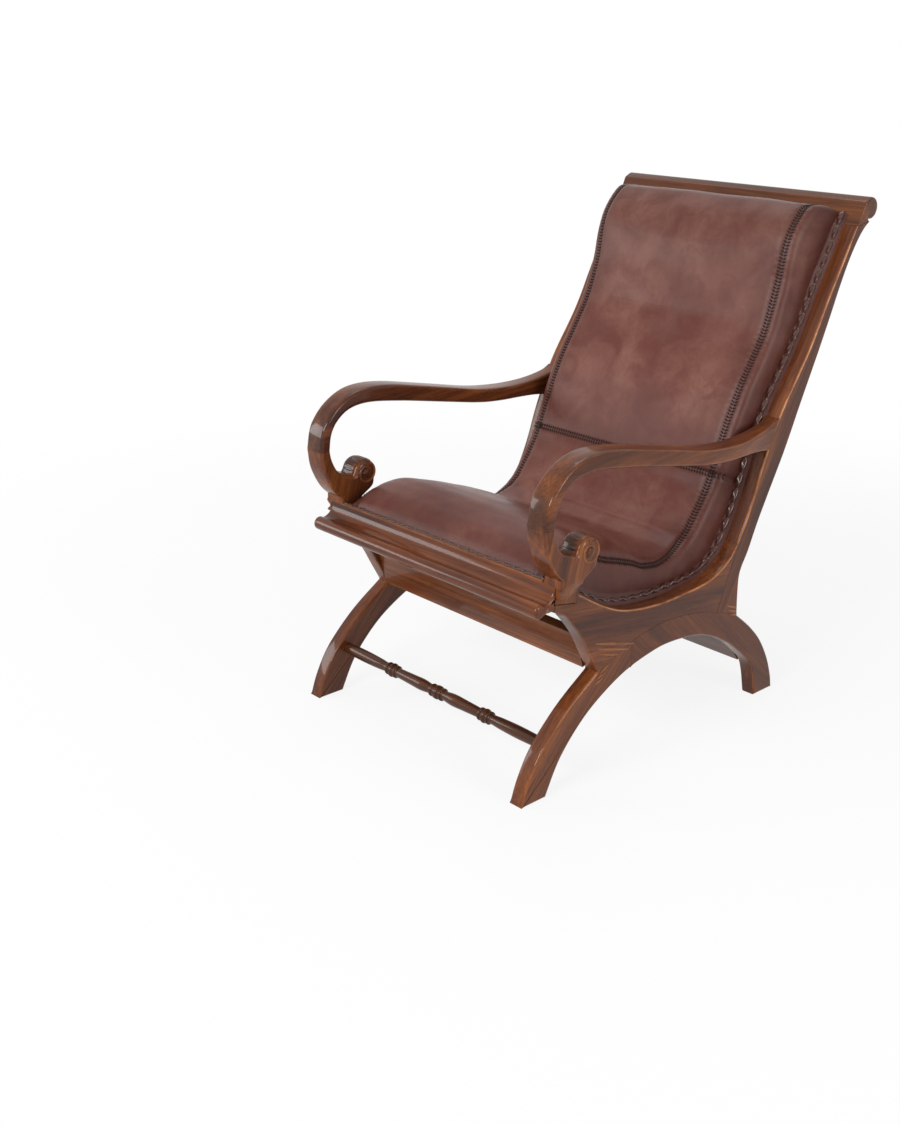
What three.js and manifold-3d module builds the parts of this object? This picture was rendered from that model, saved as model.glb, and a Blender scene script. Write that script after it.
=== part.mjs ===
// Planters chair: two band-sawn hardwood side frames carry a scooped, padded leather seat and back.
// Millimetres, +Z up, +X across the chair, the sitter faces -Y. The left side of the sitter is +X.
// The origin is on the floor under the middle of the whole chair.

import * as THREE from "three";
import { mergeVertices } from "three/addons/utils/BufferGeometryUtils.js";
import Module from "manifold-3d";

const wasm = await Module();
wasm.setup();

// Fits and tools
const fit = 0.3; // gap between pieces that touch
const overrun = 60; // how far a cutting prism passes beyond the wood
const softEdge = 2; // rounding along the edges of the sawn boards
const softEdgeSteps = 2;
const mitreLimit = 0.4; // keeps the rounding of sharp corners short
const curveSteps = 3; // straight facets between two points of a smooth curve

// Side frames
const frameWidth = 620; // over the outer faces of the two side frames
const sideThickness = 32;
const toeReach = 378; // from the middle of the arch to the tip of each foot
const footLength = 62;
const archRise = 208;
const frontCrotchReach = 190; // where the front leg leaves the side rail
const frontCrotchHeight = 211;
const rearCrotchReach = 229;
const rearCrotchHeight = 207;
const legDepthAtCrown = 50;
const spliceReach = 97; // the joint between front and rear leg, ahead of the crown
const railNose = 312; // front end of the side rails
const railNoseHeight = 362; // lower corner of that front end
const lipFrontHeight = 407;
const dipReach = 10; // lowest point of the seat line, behind the middle of the arch
const dipHeight = 300;
const stileTopReach = 514; // front corner of the stile under the crest rail
const stileTopHeight = 950;
const stileTopDepth = 42;
const scarfFoot = 150; // joint between side rail and back stile
const scarfHead = 212;

// Crest rail, set out from the top of the stiles
const crestRollRadius = 21;
const crestRollSetback = 45;
const crestRollRise = 32;

// Armrests and scrolls
const armWidth = 49;
const armFrontOverhang = 48; // ahead of the side rails
const armTopHeight = 638;
const armJointShare = 0.511; // height of the joint with the scroll, between the rail's lip and the arm's top
const armLap = 22; // the arm outline runs past the stile by this and is cut to it
const armSweepStart = 90; // the outer face starts to sweep in behind here
const voluteSetback = 113; // from the front of the arm to the middle of the volute
const voluteShare = 0.2424; // height of the volute's centre, measured in the same way
const voluteRadius = 28;
const buttonRadius = 17;
const buttonProud = 3;
const pegBlockLength = 55; // the block under each scroll, let into the side rail
const pegBlockFrontDepth = 19;
const pegBlockBackDepth = 19;

// Moulded front rail
const frontRailOverhang = 48; // ahead of the side rails
const frontRailLap = 8.3; // over the side rails
const frontRailRise = 6; // over their lip
const frontRailDrop = 3; // under their nose
const frontBeadRadius = 13.5;
const frontRailFillet = 3; // flat edge between the top and the cavetto

// Boards between the legs
const boardThickness = 20;
const frontBoardHeight = 84;
const frontBoardSetOut = 6; // lower front edge, out from the front crotch
const frontBoardLift = 1;
const frontBoardLean = 0.265; // radians forward of upright
const rearBoardHeight = 70;
const rearBoardSetIn = 85; // lower front edge, in from the rear toes
const rearBoardBottom = 77;
const rearBoardLean = 0.67;
const tenonThickness = 8;
const tenonLength = 18;
const tenonShoulder = 11; // wood left above and below each tenon

// Turned stretcher between the front legs
const stretcherSetIn = 78; // from the front toes
const stretcherHeight = 92;
const stretcherRing = 14;
const stretcherNeck = 7.5;
const stretcherPin = 8;
const stretcherPinLength = 20;
const stretcherSides = 12;

// Dowels
const dowelRadius = 5;
const dowelLength = 40;
const armDowelRadius = 4;
const dowelSides = 8;
const legDowelRise = 18; // centre of each dowel over or under the corner it stands by
const rearLegDowelRise = 12;
const crestDowelRise = 4;
const railDowelRise = 10;
const armDowelDrop = 66;
const scrollDowelInset = 13;

// Upholstery
const padInset = 14; // between the pad and the side frames, for the braid
const padFrontGap = 3;
const borderWidth = 30; // between the side seams and the sides of the pad
const padDepth = 112; // thickest place of the pad, under the thighs
const leatherThickness = 2;
const seamGap = 0.6;
const crossSeamShare = 0.546; // place of the cross seam along the seat line
const cleatWidth = 30;
const cleatDepth = 14;
const strapThickness = 2.5;
const strapWidth = 50;
const liningThickness = 1.5;
const braidWidth = 9;
const braidHeight = 4.5;
const stationCount = 32; // stations along the seat line that all upholstery shares

const crestRollReach = stileTopReach + crestRollSetback;
const crestRollHeight = stileTopHeight + crestRollRise;
const frameHalf = frameWidth / 2;
const frameInner = frameHalf - sideThickness;
const heelReach = toeReach - footLength;
const armFrontReach = railNose + armFrontOverhang;
const voluteReach = armFrontReach - voluteSetback;
const pegBlockBack = railNose - pegBlockLength;
const frontRailNose = railNose + frontRailOverhang;
const frontRailBack = railNose - frontRailLap;
const frontRailTop = lipFrontHeight + frontRailRise;
const frontRailBottom = railNoseHeight - frontRailDrop;
const padHalfWidth = frameInner - padInset;
const seamReach = padHalfWidth - borderWidth;
const padStart = frontRailBack - padFrontGap; // reach of the front edge of the foam
const armJointHeight = lipFrontHeight + (armTopHeight - lipFrontHeight) * armJointShare;
const voluteHeight = lipFrontHeight + (armTopHeight - lipFrontHeight) * voluteShare;

// Materials
const wood = { color: 0x5b2f1b, roughness: 0.34, metalness: 0 };
const darkWood = { color: 0x43241a, roughness: 0.42, metalness: 0 };
const leather = { color: 0x7a4a3c, roughness: 0.42, metalness: 0 };
const braidLeather = { color: 0x3a1f18, roughness: 0.5, metalness: 0 };
const foam = { color: 0xd8cfa8, roughness: 0.95, metalness: 0 };
const webbing = { color: 0x9a7f56, roughness: 0.95, metalness: 0 };
const lining = { color: 0x2a1b16, roughness: 0.9, metalness: 0 };

const chair = new THREE.Group();

// Solids

function solidOf(geometry) {
  const bare = geometry.index ? geometry.toNonIndexed() : geometry.clone();
  for (const name of Object.keys(bare.attributes)) {
    if (name !== "position") bare.deleteAttribute(name);
  }
  const merged = mergeVertices(bare, 1e-3);
  const vertProperties = new Float32Array(merged.attributes.position.array);
  const triangles = Array.from({ length: merged.index.count / 3 }, (_, i) =>
    [0, 1, 2].map((corner) => merged.index.getX(3 * i + corner)));
  const triVerts = new Uint32Array(triangles.filter((t) => new Set(t).size === 3).flat());
  return new wasm.Manifold(new wasm.Mesh({ numProp: 3, vertProperties, triVerts }));
}

function geometryOf(solid) {
  const mesh = solid.getMesh();
  const geometry = new THREE.BufferGeometry();
  geometry.setAttribute("position", new THREE.BufferAttribute(new Float32Array(mesh.vertProperties), 3));
  geometry.setIndex(new THREE.BufferAttribute(new Uint32Array(mesh.triVerts), 1));
  geometry.computeVertexNormals();
  return geometry;
}

function mirrored(geometry) {
  const copy = geometry.clone();
  copy.scale(-1, 1, 1);
  const index = copy.index.array;
  for (let i = 0; i < index.length; i += 3) {
    [index[i], index[i + 1]] = [index[i + 1], index[i]];
  }
  copy.computeVertexNormals();
  return copy;
}

function place(name, geometry, finish) {
  const mesh = new THREE.Mesh(geometry, new THREE.MeshStandardMaterial(finish));
  mesh.name = name;
  chair.add(mesh);
}

// A piece of the left side frame, and its mirror image on the right
function placePair(name, solid, finish) {
  const geometry = geometryOf(solid);
  place(`${name}_left`, geometry, finish);
  place(`${name}_right`, mirrored(geometry), finish);
}

// Outlines in the side view: a point is (depth, height)

const point = (depth, height) => new THREE.Vector2(depth, height);

// Points between two corners, each given as shares of the way in depth and in height
function between(from, to, shares) {
  return shares.map(([depth, height]) =>
    point(from.x + (to.x - from.x) * depth, from.y + (to.y - from.y) * height));
}

function smooth(points) {
  return new THREE.SplineCurve(points).getPoints((points.length - 1) * curveSteps);
}

// The outline moved inwards by a distance, point by point
function inset(outline, distance) {
  const inward = (from, to) => point(from.y - to.y, to.x - from.x).normalize();
  return outline.map((spot, i) => {
    const before = inward(outline.at(i - 1), spot);
    const after = inward(spot, outline[(i + 1) % outline.length]);
    const reach = distance / Math.max(mitreLimit, 1 + before.dot(after));
    return point(spot.x + (before.x + after.x) * reach, spot.y + (before.y + after.y) * reach);
  });
}

// A closed prism: its outline stands at one height and is carried to another, with rounded edges
function prism(outline, from, to, edge, spot) {
  const base = THREE.ShapeUtils.isClockWise(outline) ? [...outline].reverse() : outline;
  const steps = edge > 0 ? softEdgeSteps : 0;
  const levels = Array.from({ length: steps + 1 }, (_, i) => {
    const turn = steps > 0 ? (i / steps) * (Math.PI / 2) : 0;
    return { inner: inset(base, edge * (1 - Math.sin(turn))), rise: edge * (1 - Math.cos(turn)) };
  });
  const rings = [
    ...levels.map(({ inner, rise }) => inner.map((p) => spot(p, from + rise))),
    ...levels.reverse().map(({ inner, rise }) => inner.map((p) => spot(p, to - rise))),
  ];
  const count = base.length;
  const last = (rings.length - 1) * count;
  const caps = THREE.ShapeUtils.triangulateShape(levels.at(-1).inner, []);
  const index = caps.flatMap(([a, b, c]) => [c, b, a, last + a, last + b, last + c]);
  for (let ring = 0; ring + 1 < rings.length; ring += 1) {
    for (let i = 0; i < count; i += 1) {
      const low = ring * count;
      const next = (i + 1) % count;
      index.push(low + i, low + next, low + count + next, low + i, low + count + next, low + count + i);
    }
  }
  const vertProperties = new Float32Array(rings.flat().flatMap((p) => [p.x, p.y, p.z]));
  return new wasm.Manifold(new wasm.Mesh({ numProp: 3, vertProperties, triVerts: new Uint32Array(index) }));
}

// Carries a side outline across the chair, from one X to another
function acrossX(outline, fromX, toX, edge = 0) {
  return prism(outline, fromX, toX, edge, (p, x) => new THREE.Vector3(x, p.x, p.y));
}

// Carries a plan outline, given as (X, depth) points, upwards
function upwards(outline, fromZ, toZ) {
  return prism(outline, fromZ, toZ, 0, (p, z) => new THREE.Vector3(p.x, p.y, z));
}

function rod(centre, direction, length, radius, sides = dowelSides) {
  const geometry = new THREE.CylinderGeometry(radius, radius, length, sides);
  const turn = new THREE.Quaternion().setFromUnitVectors(
    new THREE.Vector3(0, 1, 0), direction.clone().normalize());
  geometry.applyQuaternion(turn);
  geometry.translate(centre.x, centre.y, centre.z);
  return solidOf(geometry);
}

// The seat line: from the nose of the side rail through the dip, up the stile and onto the crest

const lipNose = point(-railNose, lipFrontHeight);
const dip = point(dipReach, dipHeight);
const stileTop = point(stileTopReach, stileTopHeight);
const crestFront = point(stileTopReach + crestRollRadius * 0.67, stileTopHeight + crestRollRadius * 1.05);
const seatShares = [[0, 0], [0.17, 0.21], [0.366, 0.56], [0.54, 0.81], [0.717, 0.935], [0.9, 0.993]];
const backShares = [
  [0, 0], [0.208, 0.008], [0.313, 0.035], [0.388, 0.0874], [0.463, 0.2], [0.523, 0.33],
  [0.614, 0.483], [0.754, 0.644], [0.857, 0.798], [0.945, 0.92], [1, 1],
];
const lipPoints = [...between(lipNose, dip, seatShares), ...between(dip, stileTop, backShares)];
const seatLine = new THREE.SplineCurve([...lipPoints, crestFront]);
const stileTopParameter = (lipPoints.length - 1) / lipPoints.length;

// A point beside the seat line, at a share of its length; a positive offset is on the sitter's side
function besideCurve(share, offset) {
  const on = seatLine.getPointAt(share);
  const along = seatLine.getTangentAt(share);
  return point(on.x - along.y * offset, on.y + along.x * offset);
}

// The same on the straight facets between the stations, so that every layer bends at the same places
function beside(share, offset) {
  const place = Math.min(share * stationCount, stationCount - 1e-9);
  const from = besideCurve(Math.floor(place) / stationCount, offset);
  const to = besideCurve((Math.floor(place) + 1) / stationCount, offset);
  return from.lerp(to, place - Math.floor(place));
}

function sharesBetween(from, to) {
  const stations = Array.from({ length: stationCount + 1 }, (_, i) => i / stationCount);
  const apart = 0.01 / stationCount;
  return [from, ...stations.filter((share) => share > from + apart && share < to - apart), to];
}

// The share of the seat line from which a test of its points holds
function seatShareWhere(isPast) {
  let low = 0;
  let high = 1;
  for (let i = 0; i < 40; i += 1) {
    const middle = (low + high) / 2;
    if (isPast(beside(middle, 0))) high = middle;
    else low = middle;
  }
  return high;
}

// How far back the seat line is at a height of the leaning back
function stileReachAt(height) {
  return beside(seatShareWhere((spot) => spot.x > 0 && spot.y > height), 0).x;
}

function lipOutline() {
  const count = (lipPoints.length - 1) * curveSteps;
  return Array.from({ length: count + 1 }, (_, i) => seatLine.getPoint((stileTopParameter * i) / count));
}

// Side frame: one sawn outline, then cut into its members

const frontToe = point(-toeReach, 0);
const rearToe = point(toeReach, 0);
const frontCrotch = point(-frontCrotchReach, frontCrotchHeight);
const rearCrotch = point(rearCrotchReach, rearCrotchHeight);
const noseFoot = point(-railNose, railNoseHeight);
const stileHeel = point(stileTopReach + stileTopDepth, stileTopHeight + stileTopDepth / 6);

const archShares = [
  [-1, 0], [-0.892, 0.31], [-0.734, 0.57], [-0.57, 0.745], [-0.36, 0.895], [-0.14, 0.975], [0.06, 1],
  [0.35, 0.945], [0.604, 0.775], [0.838, 0.515], [0.94, 0.33], [1, 0],
];
const frontLegShares = [[0, 0], [0.085, 0.21], [0.26, 0.47], [0.6, 0.76], [1, 1]];
const rearLegShares = [[0, 0], [0.045, 0.15], [0.18, 0.38], [0.4, 0.62], [0.68, 0.82], [1, 1]];
const coveShares = [[0, 0], [0.2, 0.28], [0.37, 0.52], [0.56, 0.72], [0.78, 0.91], [1, 1]];
const stileBackShares = [
  [0, 0], [-0.012, 0.07], [-0.006, 0.125], [0.058, 0.178], [0.13, 0.25], [0.235, 0.34], [0.345, 0.433],
  [0.47, 0.555], [0.585, 0.664], [0.682, 0.761], [0.758, 0.841], [0.835, 0.911], [0.92, 0.967], [1, 1],
];

function sideOutline() {
  const crown = point(0, archRise);
  const arch = archShares.map(([depth, height]) => point(heelReach * depth, crown.y * height));
  return [
    ...smooth(arch),
    ...smooth(between(rearToe, rearCrotch, rearLegShares)),
    ...smooth(between(rearCrotch, stileHeel, stileBackShares)).slice(1),
    ...lipOutline().reverse(),
    ...smooth(between(frontCrotch, noseFoot, coveShares)).reverse(),
    ...smooth(between(frontToe, frontCrotch, frontLegShares)).reverse().slice(1),
  ];
}

// The upper edge of the legs, where side rail and stile stand on them
const legCrown = point(0, archRise + legDepthAtCrown);
const legTopLine = smooth([
  frontCrotch,
  point(frontCrotch.x / 2, (frontCrotch.y + legCrown.y * 3) / 4),
  legCrown,
  point(rearCrotch.x / 2, (rearCrotch.y + legCrown.y * 3) / 4),
  rearCrotch,
]);

function legRegion(gap) {
  const left = -toeReach - overrun;
  const right = toeReach + overrun;
  const top = legTopLine.map((p) => point(p.x, p.y - gap));
  return [
    point(left, -overrun),
    point(right, -overrun),
    point(right, top.at(-1).y),
    ...top.reverse(),
    point(left, frontCrotch.y - gap),
  ];
}

function stileRegion(gap) {
  const right = crestRollReach + overrun;
  const foot = point(scarfFoot + gap, rearCrotchHeight);
  const rise = lipFrontHeight - rearCrotchHeight;
  const head = point(scarfHead + gap, rearCrotchHeight + rise * 0.78);
  return [
    point(foot.x, 0),
    foot,
    head,
    point(head.x - overrun, head.y + overrun),
    point(head.x - overrun, crestRollHeight + overrun),
    point(right, crestRollHeight + overrun),
    point(right, 0),
  ];
}

function region(outline) {
  return acrossX(outline, 0, frameHalf + overrun);
}

function halfSpace(isBehind, depth) {
  const far = isBehind ? crestRollReach + overrun : -armFrontReach - overrun;
  return region([point(depth, -overrun), point(far, -overrun), point(far, crestRollHeight + overrun),
    point(depth, crestRollHeight + overrun)]);
}

const sideFrame = acrossX(sideOutline(), frameInner, frameHalf, softEdge);
const legs = sideFrame.intersect(region(legRegion(fit / 2)));
const upperFrame = sideFrame.subtract(region(legRegion(-fit / 2)));

// Block under the scroll, let into the nose of the side rail
function pegBlockOutline(gap) {
  const top = lipFrontHeight + armWidth;
  const backLip = lipFrontHeight - (lipFrontHeight - dipHeight) * 0.21;
  return [
    point(-railNose - (gap > 0 ? overrun : 0), lipFrontHeight - pegBlockFrontDepth - gap),
    point(-pegBlockBack + gap, backLip - pegBlockBackDepth - gap),
    point(-pegBlockBack + gap, top),
    point(-railNose - (gap > 0 ? overrun : 0), top),
  ];
}

// Dowels: centre, direction, length and radius of each hidden pin
const sideMiddle = (frameInner + frameHalf) / 2;
const armMiddle = frameInner + armWidth / 2;
const armDowelHeight = armTopHeight - armDowelDrop;
const at = (x, depth, height) => new THREE.Vector3(x, depth, height);
const pins = {
  front_leg_dowel: [at(sideMiddle, -frontCrotchReach * 0.68, frontCrotchHeight + legDowelRise), at(0, 0, 1),
    dowelLength, dowelRadius],
  rear_leg_dowel: [at(sideMiddle, rearCrotchReach * 0.83, rearCrotchHeight + rearLegDowelRise), at(0, 0, 1),
    dowelLength, dowelRadius],
  crest_dowel: [at(sideMiddle, stileTopReach + stileTopDepth * 0.44, stileTopHeight + crestDowelRise),
    at(0, 0.4, 1), dowelLength * 0.8, dowelRadius],
  front_rail_dowel: [at(sideMiddle, -railNose, railNoseHeight + railDowelRise), at(0, 1, 0),
    dowelLength, dowelRadius],
  arm_dowel: [at(armMiddle - armWidth / 5, stileReachAt(armDowelHeight), armDowelHeight), at(0, 1, 0),
    dowelLength, dowelRadius],
  scroll_dowel: [at(armMiddle, -armFrontReach + scrollDowelInset, armJointHeight), at(0, 0, 1),
    dowelLength * 0.75, armDowelRadius],
};

function pin(name, gap = 0) {
  const [centre, direction, length, radius] = pins[name];
  return rod(centre, direction, length + 2 * gap, radius + gap);
}

const bored = (solid, ...names) => names.reduce((rest, name) => rest.subtract(pin(name, fit)), solid);

// Boards and stretcher between the legs

// A leaning rectangle: lower inner corner, lean from upright towards the front, height and thickness
function leaningBoard(corner, lean, height, thickness, shoulder = 0, inset = 0) {
  const up = point(-Math.sin(lean), Math.cos(lean));
  const back = point(Math.cos(lean), Math.sin(lean));
  const spot = (u, b) => point(corner.x + up.x * u + back.x * b, corner.y + up.y * u + back.y * b);
  return [
    spot(shoulder, inset),
    spot(shoulder, thickness - inset),
    spot(height - shoulder, thickness - inset),
    spot(height - shoulder, inset),
  ];
}

function crossBoard(corner, lean, height) {
  const inset = (boardThickness - tenonThickness) / 2;
  const half = frameInner - fit;
  const board = acrossX(leaningBoard(corner, lean, height, boardThickness), -half, half, softEdge / 2);
  const tenon = (gap) => acrossX(
    leaningBoard(corner, lean, height, boardThickness, tenonShoulder - gap, inset - gap),
    -half - tenonLength - gap, half + tenonLength + gap);
  return { board: board.add(tenon(0)), mortise: tenon(fit) };
}

const frontBoardCorner = point(-frontCrotchReach - frontBoardSetOut, frontCrotchHeight + frontBoardLift);
const rearBoardCorner = point(toeReach - rearBoardSetIn, rearBoardBottom);
const frontBoard = crossBoard(frontBoardCorner, frontBoardLean, frontBoardHeight);
const rearBoard = crossBoard(rearBoardCorner, rearBoardLean, rearBoardHeight);

// Half of the turning, from the middle outwards: shares of the half length and of ring height
const turningShares = [
  [0, 1], [0.014, 0.95], [0.026, 0.45], [0.034, 0.45], [0.044, 0.8], [0.056, 0.8], [0.066, 0.3],
  [0.16, 0.62], [0.27, 0.42], [0.4, 0.3], [0.425, 0.3], [0.435, 0.8], [0.447, 0.8], [0.457, 0.42],
  [0.475, 1], [0.49, 1], [0.508, 0.42], [0.518, 0.8], [0.53, 0.8], [0.54, 0.3], [0.66, 0.6], [0.8, 0.52],
  [0.93, 0.2], [1, 0.12],
];

function turnedStretcher() {
  const half = frameInner - fit;
  const tip = half + stretcherPinLength;
  const height = stretcherRing - stretcherNeck;
  const spindle = turningShares.map(([along, rise]) => point(stretcherNeck + height * rise, half * along));
  const upper = [...spindle, point(stretcherPin, half), point(stretcherPin, tip), point(0, tip)];
  const lower = upper.slice(1).map((p) => point(p.x, -p.y)).reverse();
  const geometry = new THREE.LatheGeometry([...lower, ...upper], stretcherSides);
  geometry.rotateZ(-Math.PI / 2);
  geometry.translate(0, stretcherSetIn - toeReach, stretcherHeight);
  return solidOf(geometry);
}

function stretcherSocket() {
  const depth = stretcherPinLength + 2 * fit;
  const centre = at(frameInner + depth / 2 - fit, stretcherSetIn - toeReach, stretcherHeight);
  return rod(centre, at(1, 0, 0), depth + fit, stretcherPin + fit, stretcherSides);
}

// Front rail: a flat top that the leather is nailed to, a cavetto below its edge and a bead as its nose
function frontRailOutline() {
  const bead = point(-frontRailNose + frontBeadRadius, frontRailBottom + frontBeadRadius);
  const arc = (centre, radius, fromTurn, toTurn, steps) => Array.from({ length: steps + 1 }, (_, i) => {
    const turn = 2 * Math.PI * (fromTurn + ((toTurn - fromTurn) * i) / steps);
    return point(centre.x + radius.x * Math.cos(turn), centre.y + radius.y * Math.sin(turn));
  });
  const edge = point(-railNose - fit, frontRailTop - frontRailFillet);
  const quirk = point(bead.x + frontBeadRadius * 0.62, bead.y + frontBeadRadius * 0.78);
  const hollow = point(edge.x - quirk.x, edge.y - quirk.y);
  const back = frontRailBottom + frontBeadRadius * 0.4;
  return [
    point(-frontRailBack, back),
    point(-frontRailBack, frontRailTop),
    point(edge.x, frontRailTop),
    ...arc(point(edge.x - hollow.x, edge.y), hollow, 0, -0.25, 5),
    ...arc(bead, point(frontBeadRadius, frontBeadRadius), 0.22, 0.75, 8),
    point(bead.x + frontBeadRadius * 1.1, back),
  ];
}

const frontRailEnd = point(-railNose - fit, frontRailTop);

function frontRail() {
  const whole = acrossX(frontRailOutline(), -frameHalf, frameHalf, softEdge / 3);
  const notch = acrossX([
    frontRailEnd,
    point(frontRailEnd.x, frontRailBottom - overrun),
    point(0, frontRailBottom - overrun),
    point(0, frontRailTop + overrun),
    point(frontRailEnd.x, frontRailTop + overrun),
  ], frameInner - fit, frameHalf + overrun);
  const otherNotch = solidOf(mirrored(geometryOf(notch)));
  const otherPin = solidOf(mirrored(geometryOf(pin("front_rail_dowel", fit))));
  return bored(whole.subtract(notch).subtract(otherNotch), "front_rail_dowel").subtract(otherPin);
}

// Crest rail: a leaning board with a roll along its top back edge
function crestRail() {
  const steps = 10;
  const rollStart = 1.8;
  const roll = Array.from({ length: steps + 1 }, (_, i) => {
    const turn = rollStart - (i / steps) * Math.PI * 1.18;
    return point(crestRollReach + crestRollRadius * Math.cos(turn),
      crestRollHeight + crestRollRadius * Math.sin(turn));
  });
  const under = point(stileHeel.x - fit, stileHeel.y + fit);
  const faceStart = seatShareWhere((spot) => spot.x > 0 && spot.y > stileTopHeight + 2 * fit);
  const face = sharesBetween(faceStart, 1).map((share) => beside(share, -fit));
  const brow = point(crestRollReach - crestRollRadius * 0.95, crestRollHeight + crestRollRadius * 0.62);
  const outline = [...face, brow, ...roll, under];
  const whole = acrossX(outline, -frameHalf, frameHalf, softEdge / 3);
  const otherPin = solidOf(mirrored(geometryOf(pin("crest_dowel", fit))));
  return bored(whole, "crest_dowel").subtract(otherPin);
}

// Arms: a side outline sawn again in plan, so that the outer face sweeps in to meet the stile

const armCorner = point(-armFrontReach, armJointHeight);
const armFar = point(stileReachAt(armTopHeight) + armLap, armTopHeight);
const armTopShares = [
  [0, 0], [0.013, 0.4], [0.054, 0.726], [0.113, 0.938], [0.176, 1], [0.254, 0.965], [0.345, 0.858],
  [0.462, 0.708], [0.578, 0.558], [0.662, 0.487], [0.754, 0.46], [0.842, 0.504], [0.931, 0.64], [1, 0.9],
];
const armLowShares = [
  [0.034, 0], [0.04, 0.274], [0.062, 0.5], [0.106, 0.67], [0.175, 0.717], [0.285, 0.628], [0.44, 0.451],
  [0.592, 0.274], [0.688, 0.212], [0.775, 0.195], [0.86, 0.16], [1, 0.02],
];

function armPlan() {
  const outer = frameInner + armWidth;
  const sweep = smooth([
    point(outer, armSweepStart),
    point(outer - (outer - frameHalf) * 0.2, armSweepStart + (stileTopReach - armSweepStart) * 0.2),
    point(frameHalf + (outer - frameHalf) * 0.25, armSweepStart + (stileTopReach - armSweepStart) * 0.4),
    point(frameHalf, armSweepStart + (stileTopReach - armSweepStart) * 0.55),
  ]);
  const front = -armFrontReach - overrun;
  const back = stileTopReach;
  return [
    point(frameInner - overrun, front),
    point(outer + overrun, front),
    point(outer + overrun, armSweepStart),
    ...sweep,
    point(frameHalf, back),
    point(frameInner - overrun, back),
  ];
}

// Everything behind the front line of the stiles, moved forward by the fit
function stileCut() {
  const lip = lipOutline();
  const line = lip.slice(Math.round(lip.length / 2)).map((p) => point(p.x - fit, p.y));
  const back = crestRollReach + overrun;
  const head = line.at(-1);
  return region([...line, point(head.x, head.y + overrun), point(back, head.y + overrun), point(back, 0),
    point(line[0].x, 0)]);
}

function armrest() {
  const outline = [...smooth(between(armCorner, armFar, armTopShares)),
    ...smooth(between(armCorner, armFar, armLowShares)).reverse()];
  const sawn = acrossX(outline, frameInner, frameInner + armWidth, softEdge * 2);
  const shaped = sawn.intersect(upwards(armPlan(), armJointHeight - overrun, armTopHeight + overrun));
  return bored(shaped.subtract(stileCut()), "arm_dowel", "scroll_dowel");
}

function armScroll() {
  const inner = point(armCorner.x + (armFar.x - armCorner.x) * armLowShares[0][0], armJointHeight - fit);
  const outer = point(-armFrontReach, armJointHeight - fit);
  const volute = point(-voluteReach, voluteHeight);
  const drop = armJointHeight - voluteHeight;
  const throat = smooth([
    inner,
    point(inner.x + voluteRadius * 0.2, armJointHeight - drop * 0.36),
    point(inner.x + voluteRadius * 0.8, armJointHeight - drop * 0.78),
    point(volute.x - voluteRadius * 1.1, volute.y),
  ]);
  const head = Array.from({ length: 9 }, (_, i) => {
    const turn = Math.PI * (0.93 - (i / 8) * 1.05);
    return point(volute.x + voluteRadius * Math.cos(turn), volute.y + voluteRadius * Math.sin(turn));
  });
  const neckFoot = lipFrontHeight - voluteRadius * 0.6;
  const chin = smooth([
    head.at(-1),
    point(volute.x + voluteRadius * 0.68, volute.y + (neckFoot - volute.y) * 0.415),
    point(volute.x - voluteRadius * 0.1, volute.y + (neckFoot - volute.y) * 0.615),
    point(volute.x - voluteRadius * 0.5, volute.y + (neckFoot - volute.y) * 0.75),
    point(volute.x - voluteRadius * 0.36, neckFoot),
  ]);
  const shin = [point(-railNose + fit, neckFoot), ...smooth([
    point(-railNose + fit, lipFrontHeight + voluteRadius * 0.6),
    point(outer.x + voluteRadius * 1.2, lipFrontHeight + voluteRadius * 1.1),
    point(outer.x + voluteRadius * 0.7, armJointHeight - drop * 1.08),
    point(outer.x + voluteRadius * 0.2, armJointHeight - drop * 0.58),
    outer,
  ])];
  const outline = [...throat, ...head, ...chin.slice(1), ...shin];
  const curl = acrossX(outline, frameInner, frameInner + armWidth, softEdge);
  const button = rod(at(armMiddle, -voluteReach, voluteHeight), at(1, 0, 0), armWidth + 2 * buttonProud,
    buttonRadius, dowelSides * 2);
  const block = acrossX(pegBlockOutline(0), frameInner, frameHalf)
    .intersect(region([
      point(-railNose, 0),
      point(0, 0),
      point(0, lipFrontHeight + voluteRadius * 0.4),
      point(-railNose, lipFrontHeight + voluteRadius * 0.4),
    ]));
  const aboveRail = region(lipOutline().slice(0, 3 * curveSteps).map((p) => point(p.x, p.y + fit)).concat([
    point(0, armTopHeight), point(-armFrontReach - overrun, armTopHeight),
    point(-armFrontReach - overrun, frontRailTop + fit), point(-railNose, frontRailTop + fit),
  ]));
  return bored(curl.intersect(aboveRail).add(button).add(block), "scroll_dowel");
}

// Upholstery: foam, leather skins, braid, straps, cleats and lining all follow the seat line

// Height of the pad over the seat line: share of its length and share of its greatest depth
const padHeightShares = [
  [0, 0.36], [0.04, 0.71], [0.062, 0.87], [0.1, 0.96], [0.15, 1], [0.21, 0.9], [0.245, 0.76], [0.3, 0.58],
  [0.345, 0.55], [0.41, 0.64], [0.46, 0.64], [0.53, 0.545], [0.6, 0.515], [0.7, 0.53], [0.78, 0.585],
  [0.86, 0.73], [0.905, 0.88], [0.93, 0.92], [0.955, 0.88], [1, 0.55],
];
const endRound = 26; // length over which the pad rounds down at its front and top ends
const crownRise = 7; // extra height along the middle of the seat
const sideHardness = 14; // the higher, the flatter the pad and the steeper its sides
const edgeShare = 0.14; // thickness left at the rim of the pad, as a share of the full one
const middleShares = [-1, -0.66, -0.33, 0, 0.33, 0.66, 1];
const borderShares = [0, 0.45, 0.8, 1];

const lineLength = seatLine.getLength();

const padStartShare = seatShareWhere((spot) => spot.x > -padStart);
const padEndShare = 0.995;
const padLength = (padEndShare - padStartShare) * lineLength;

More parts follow.
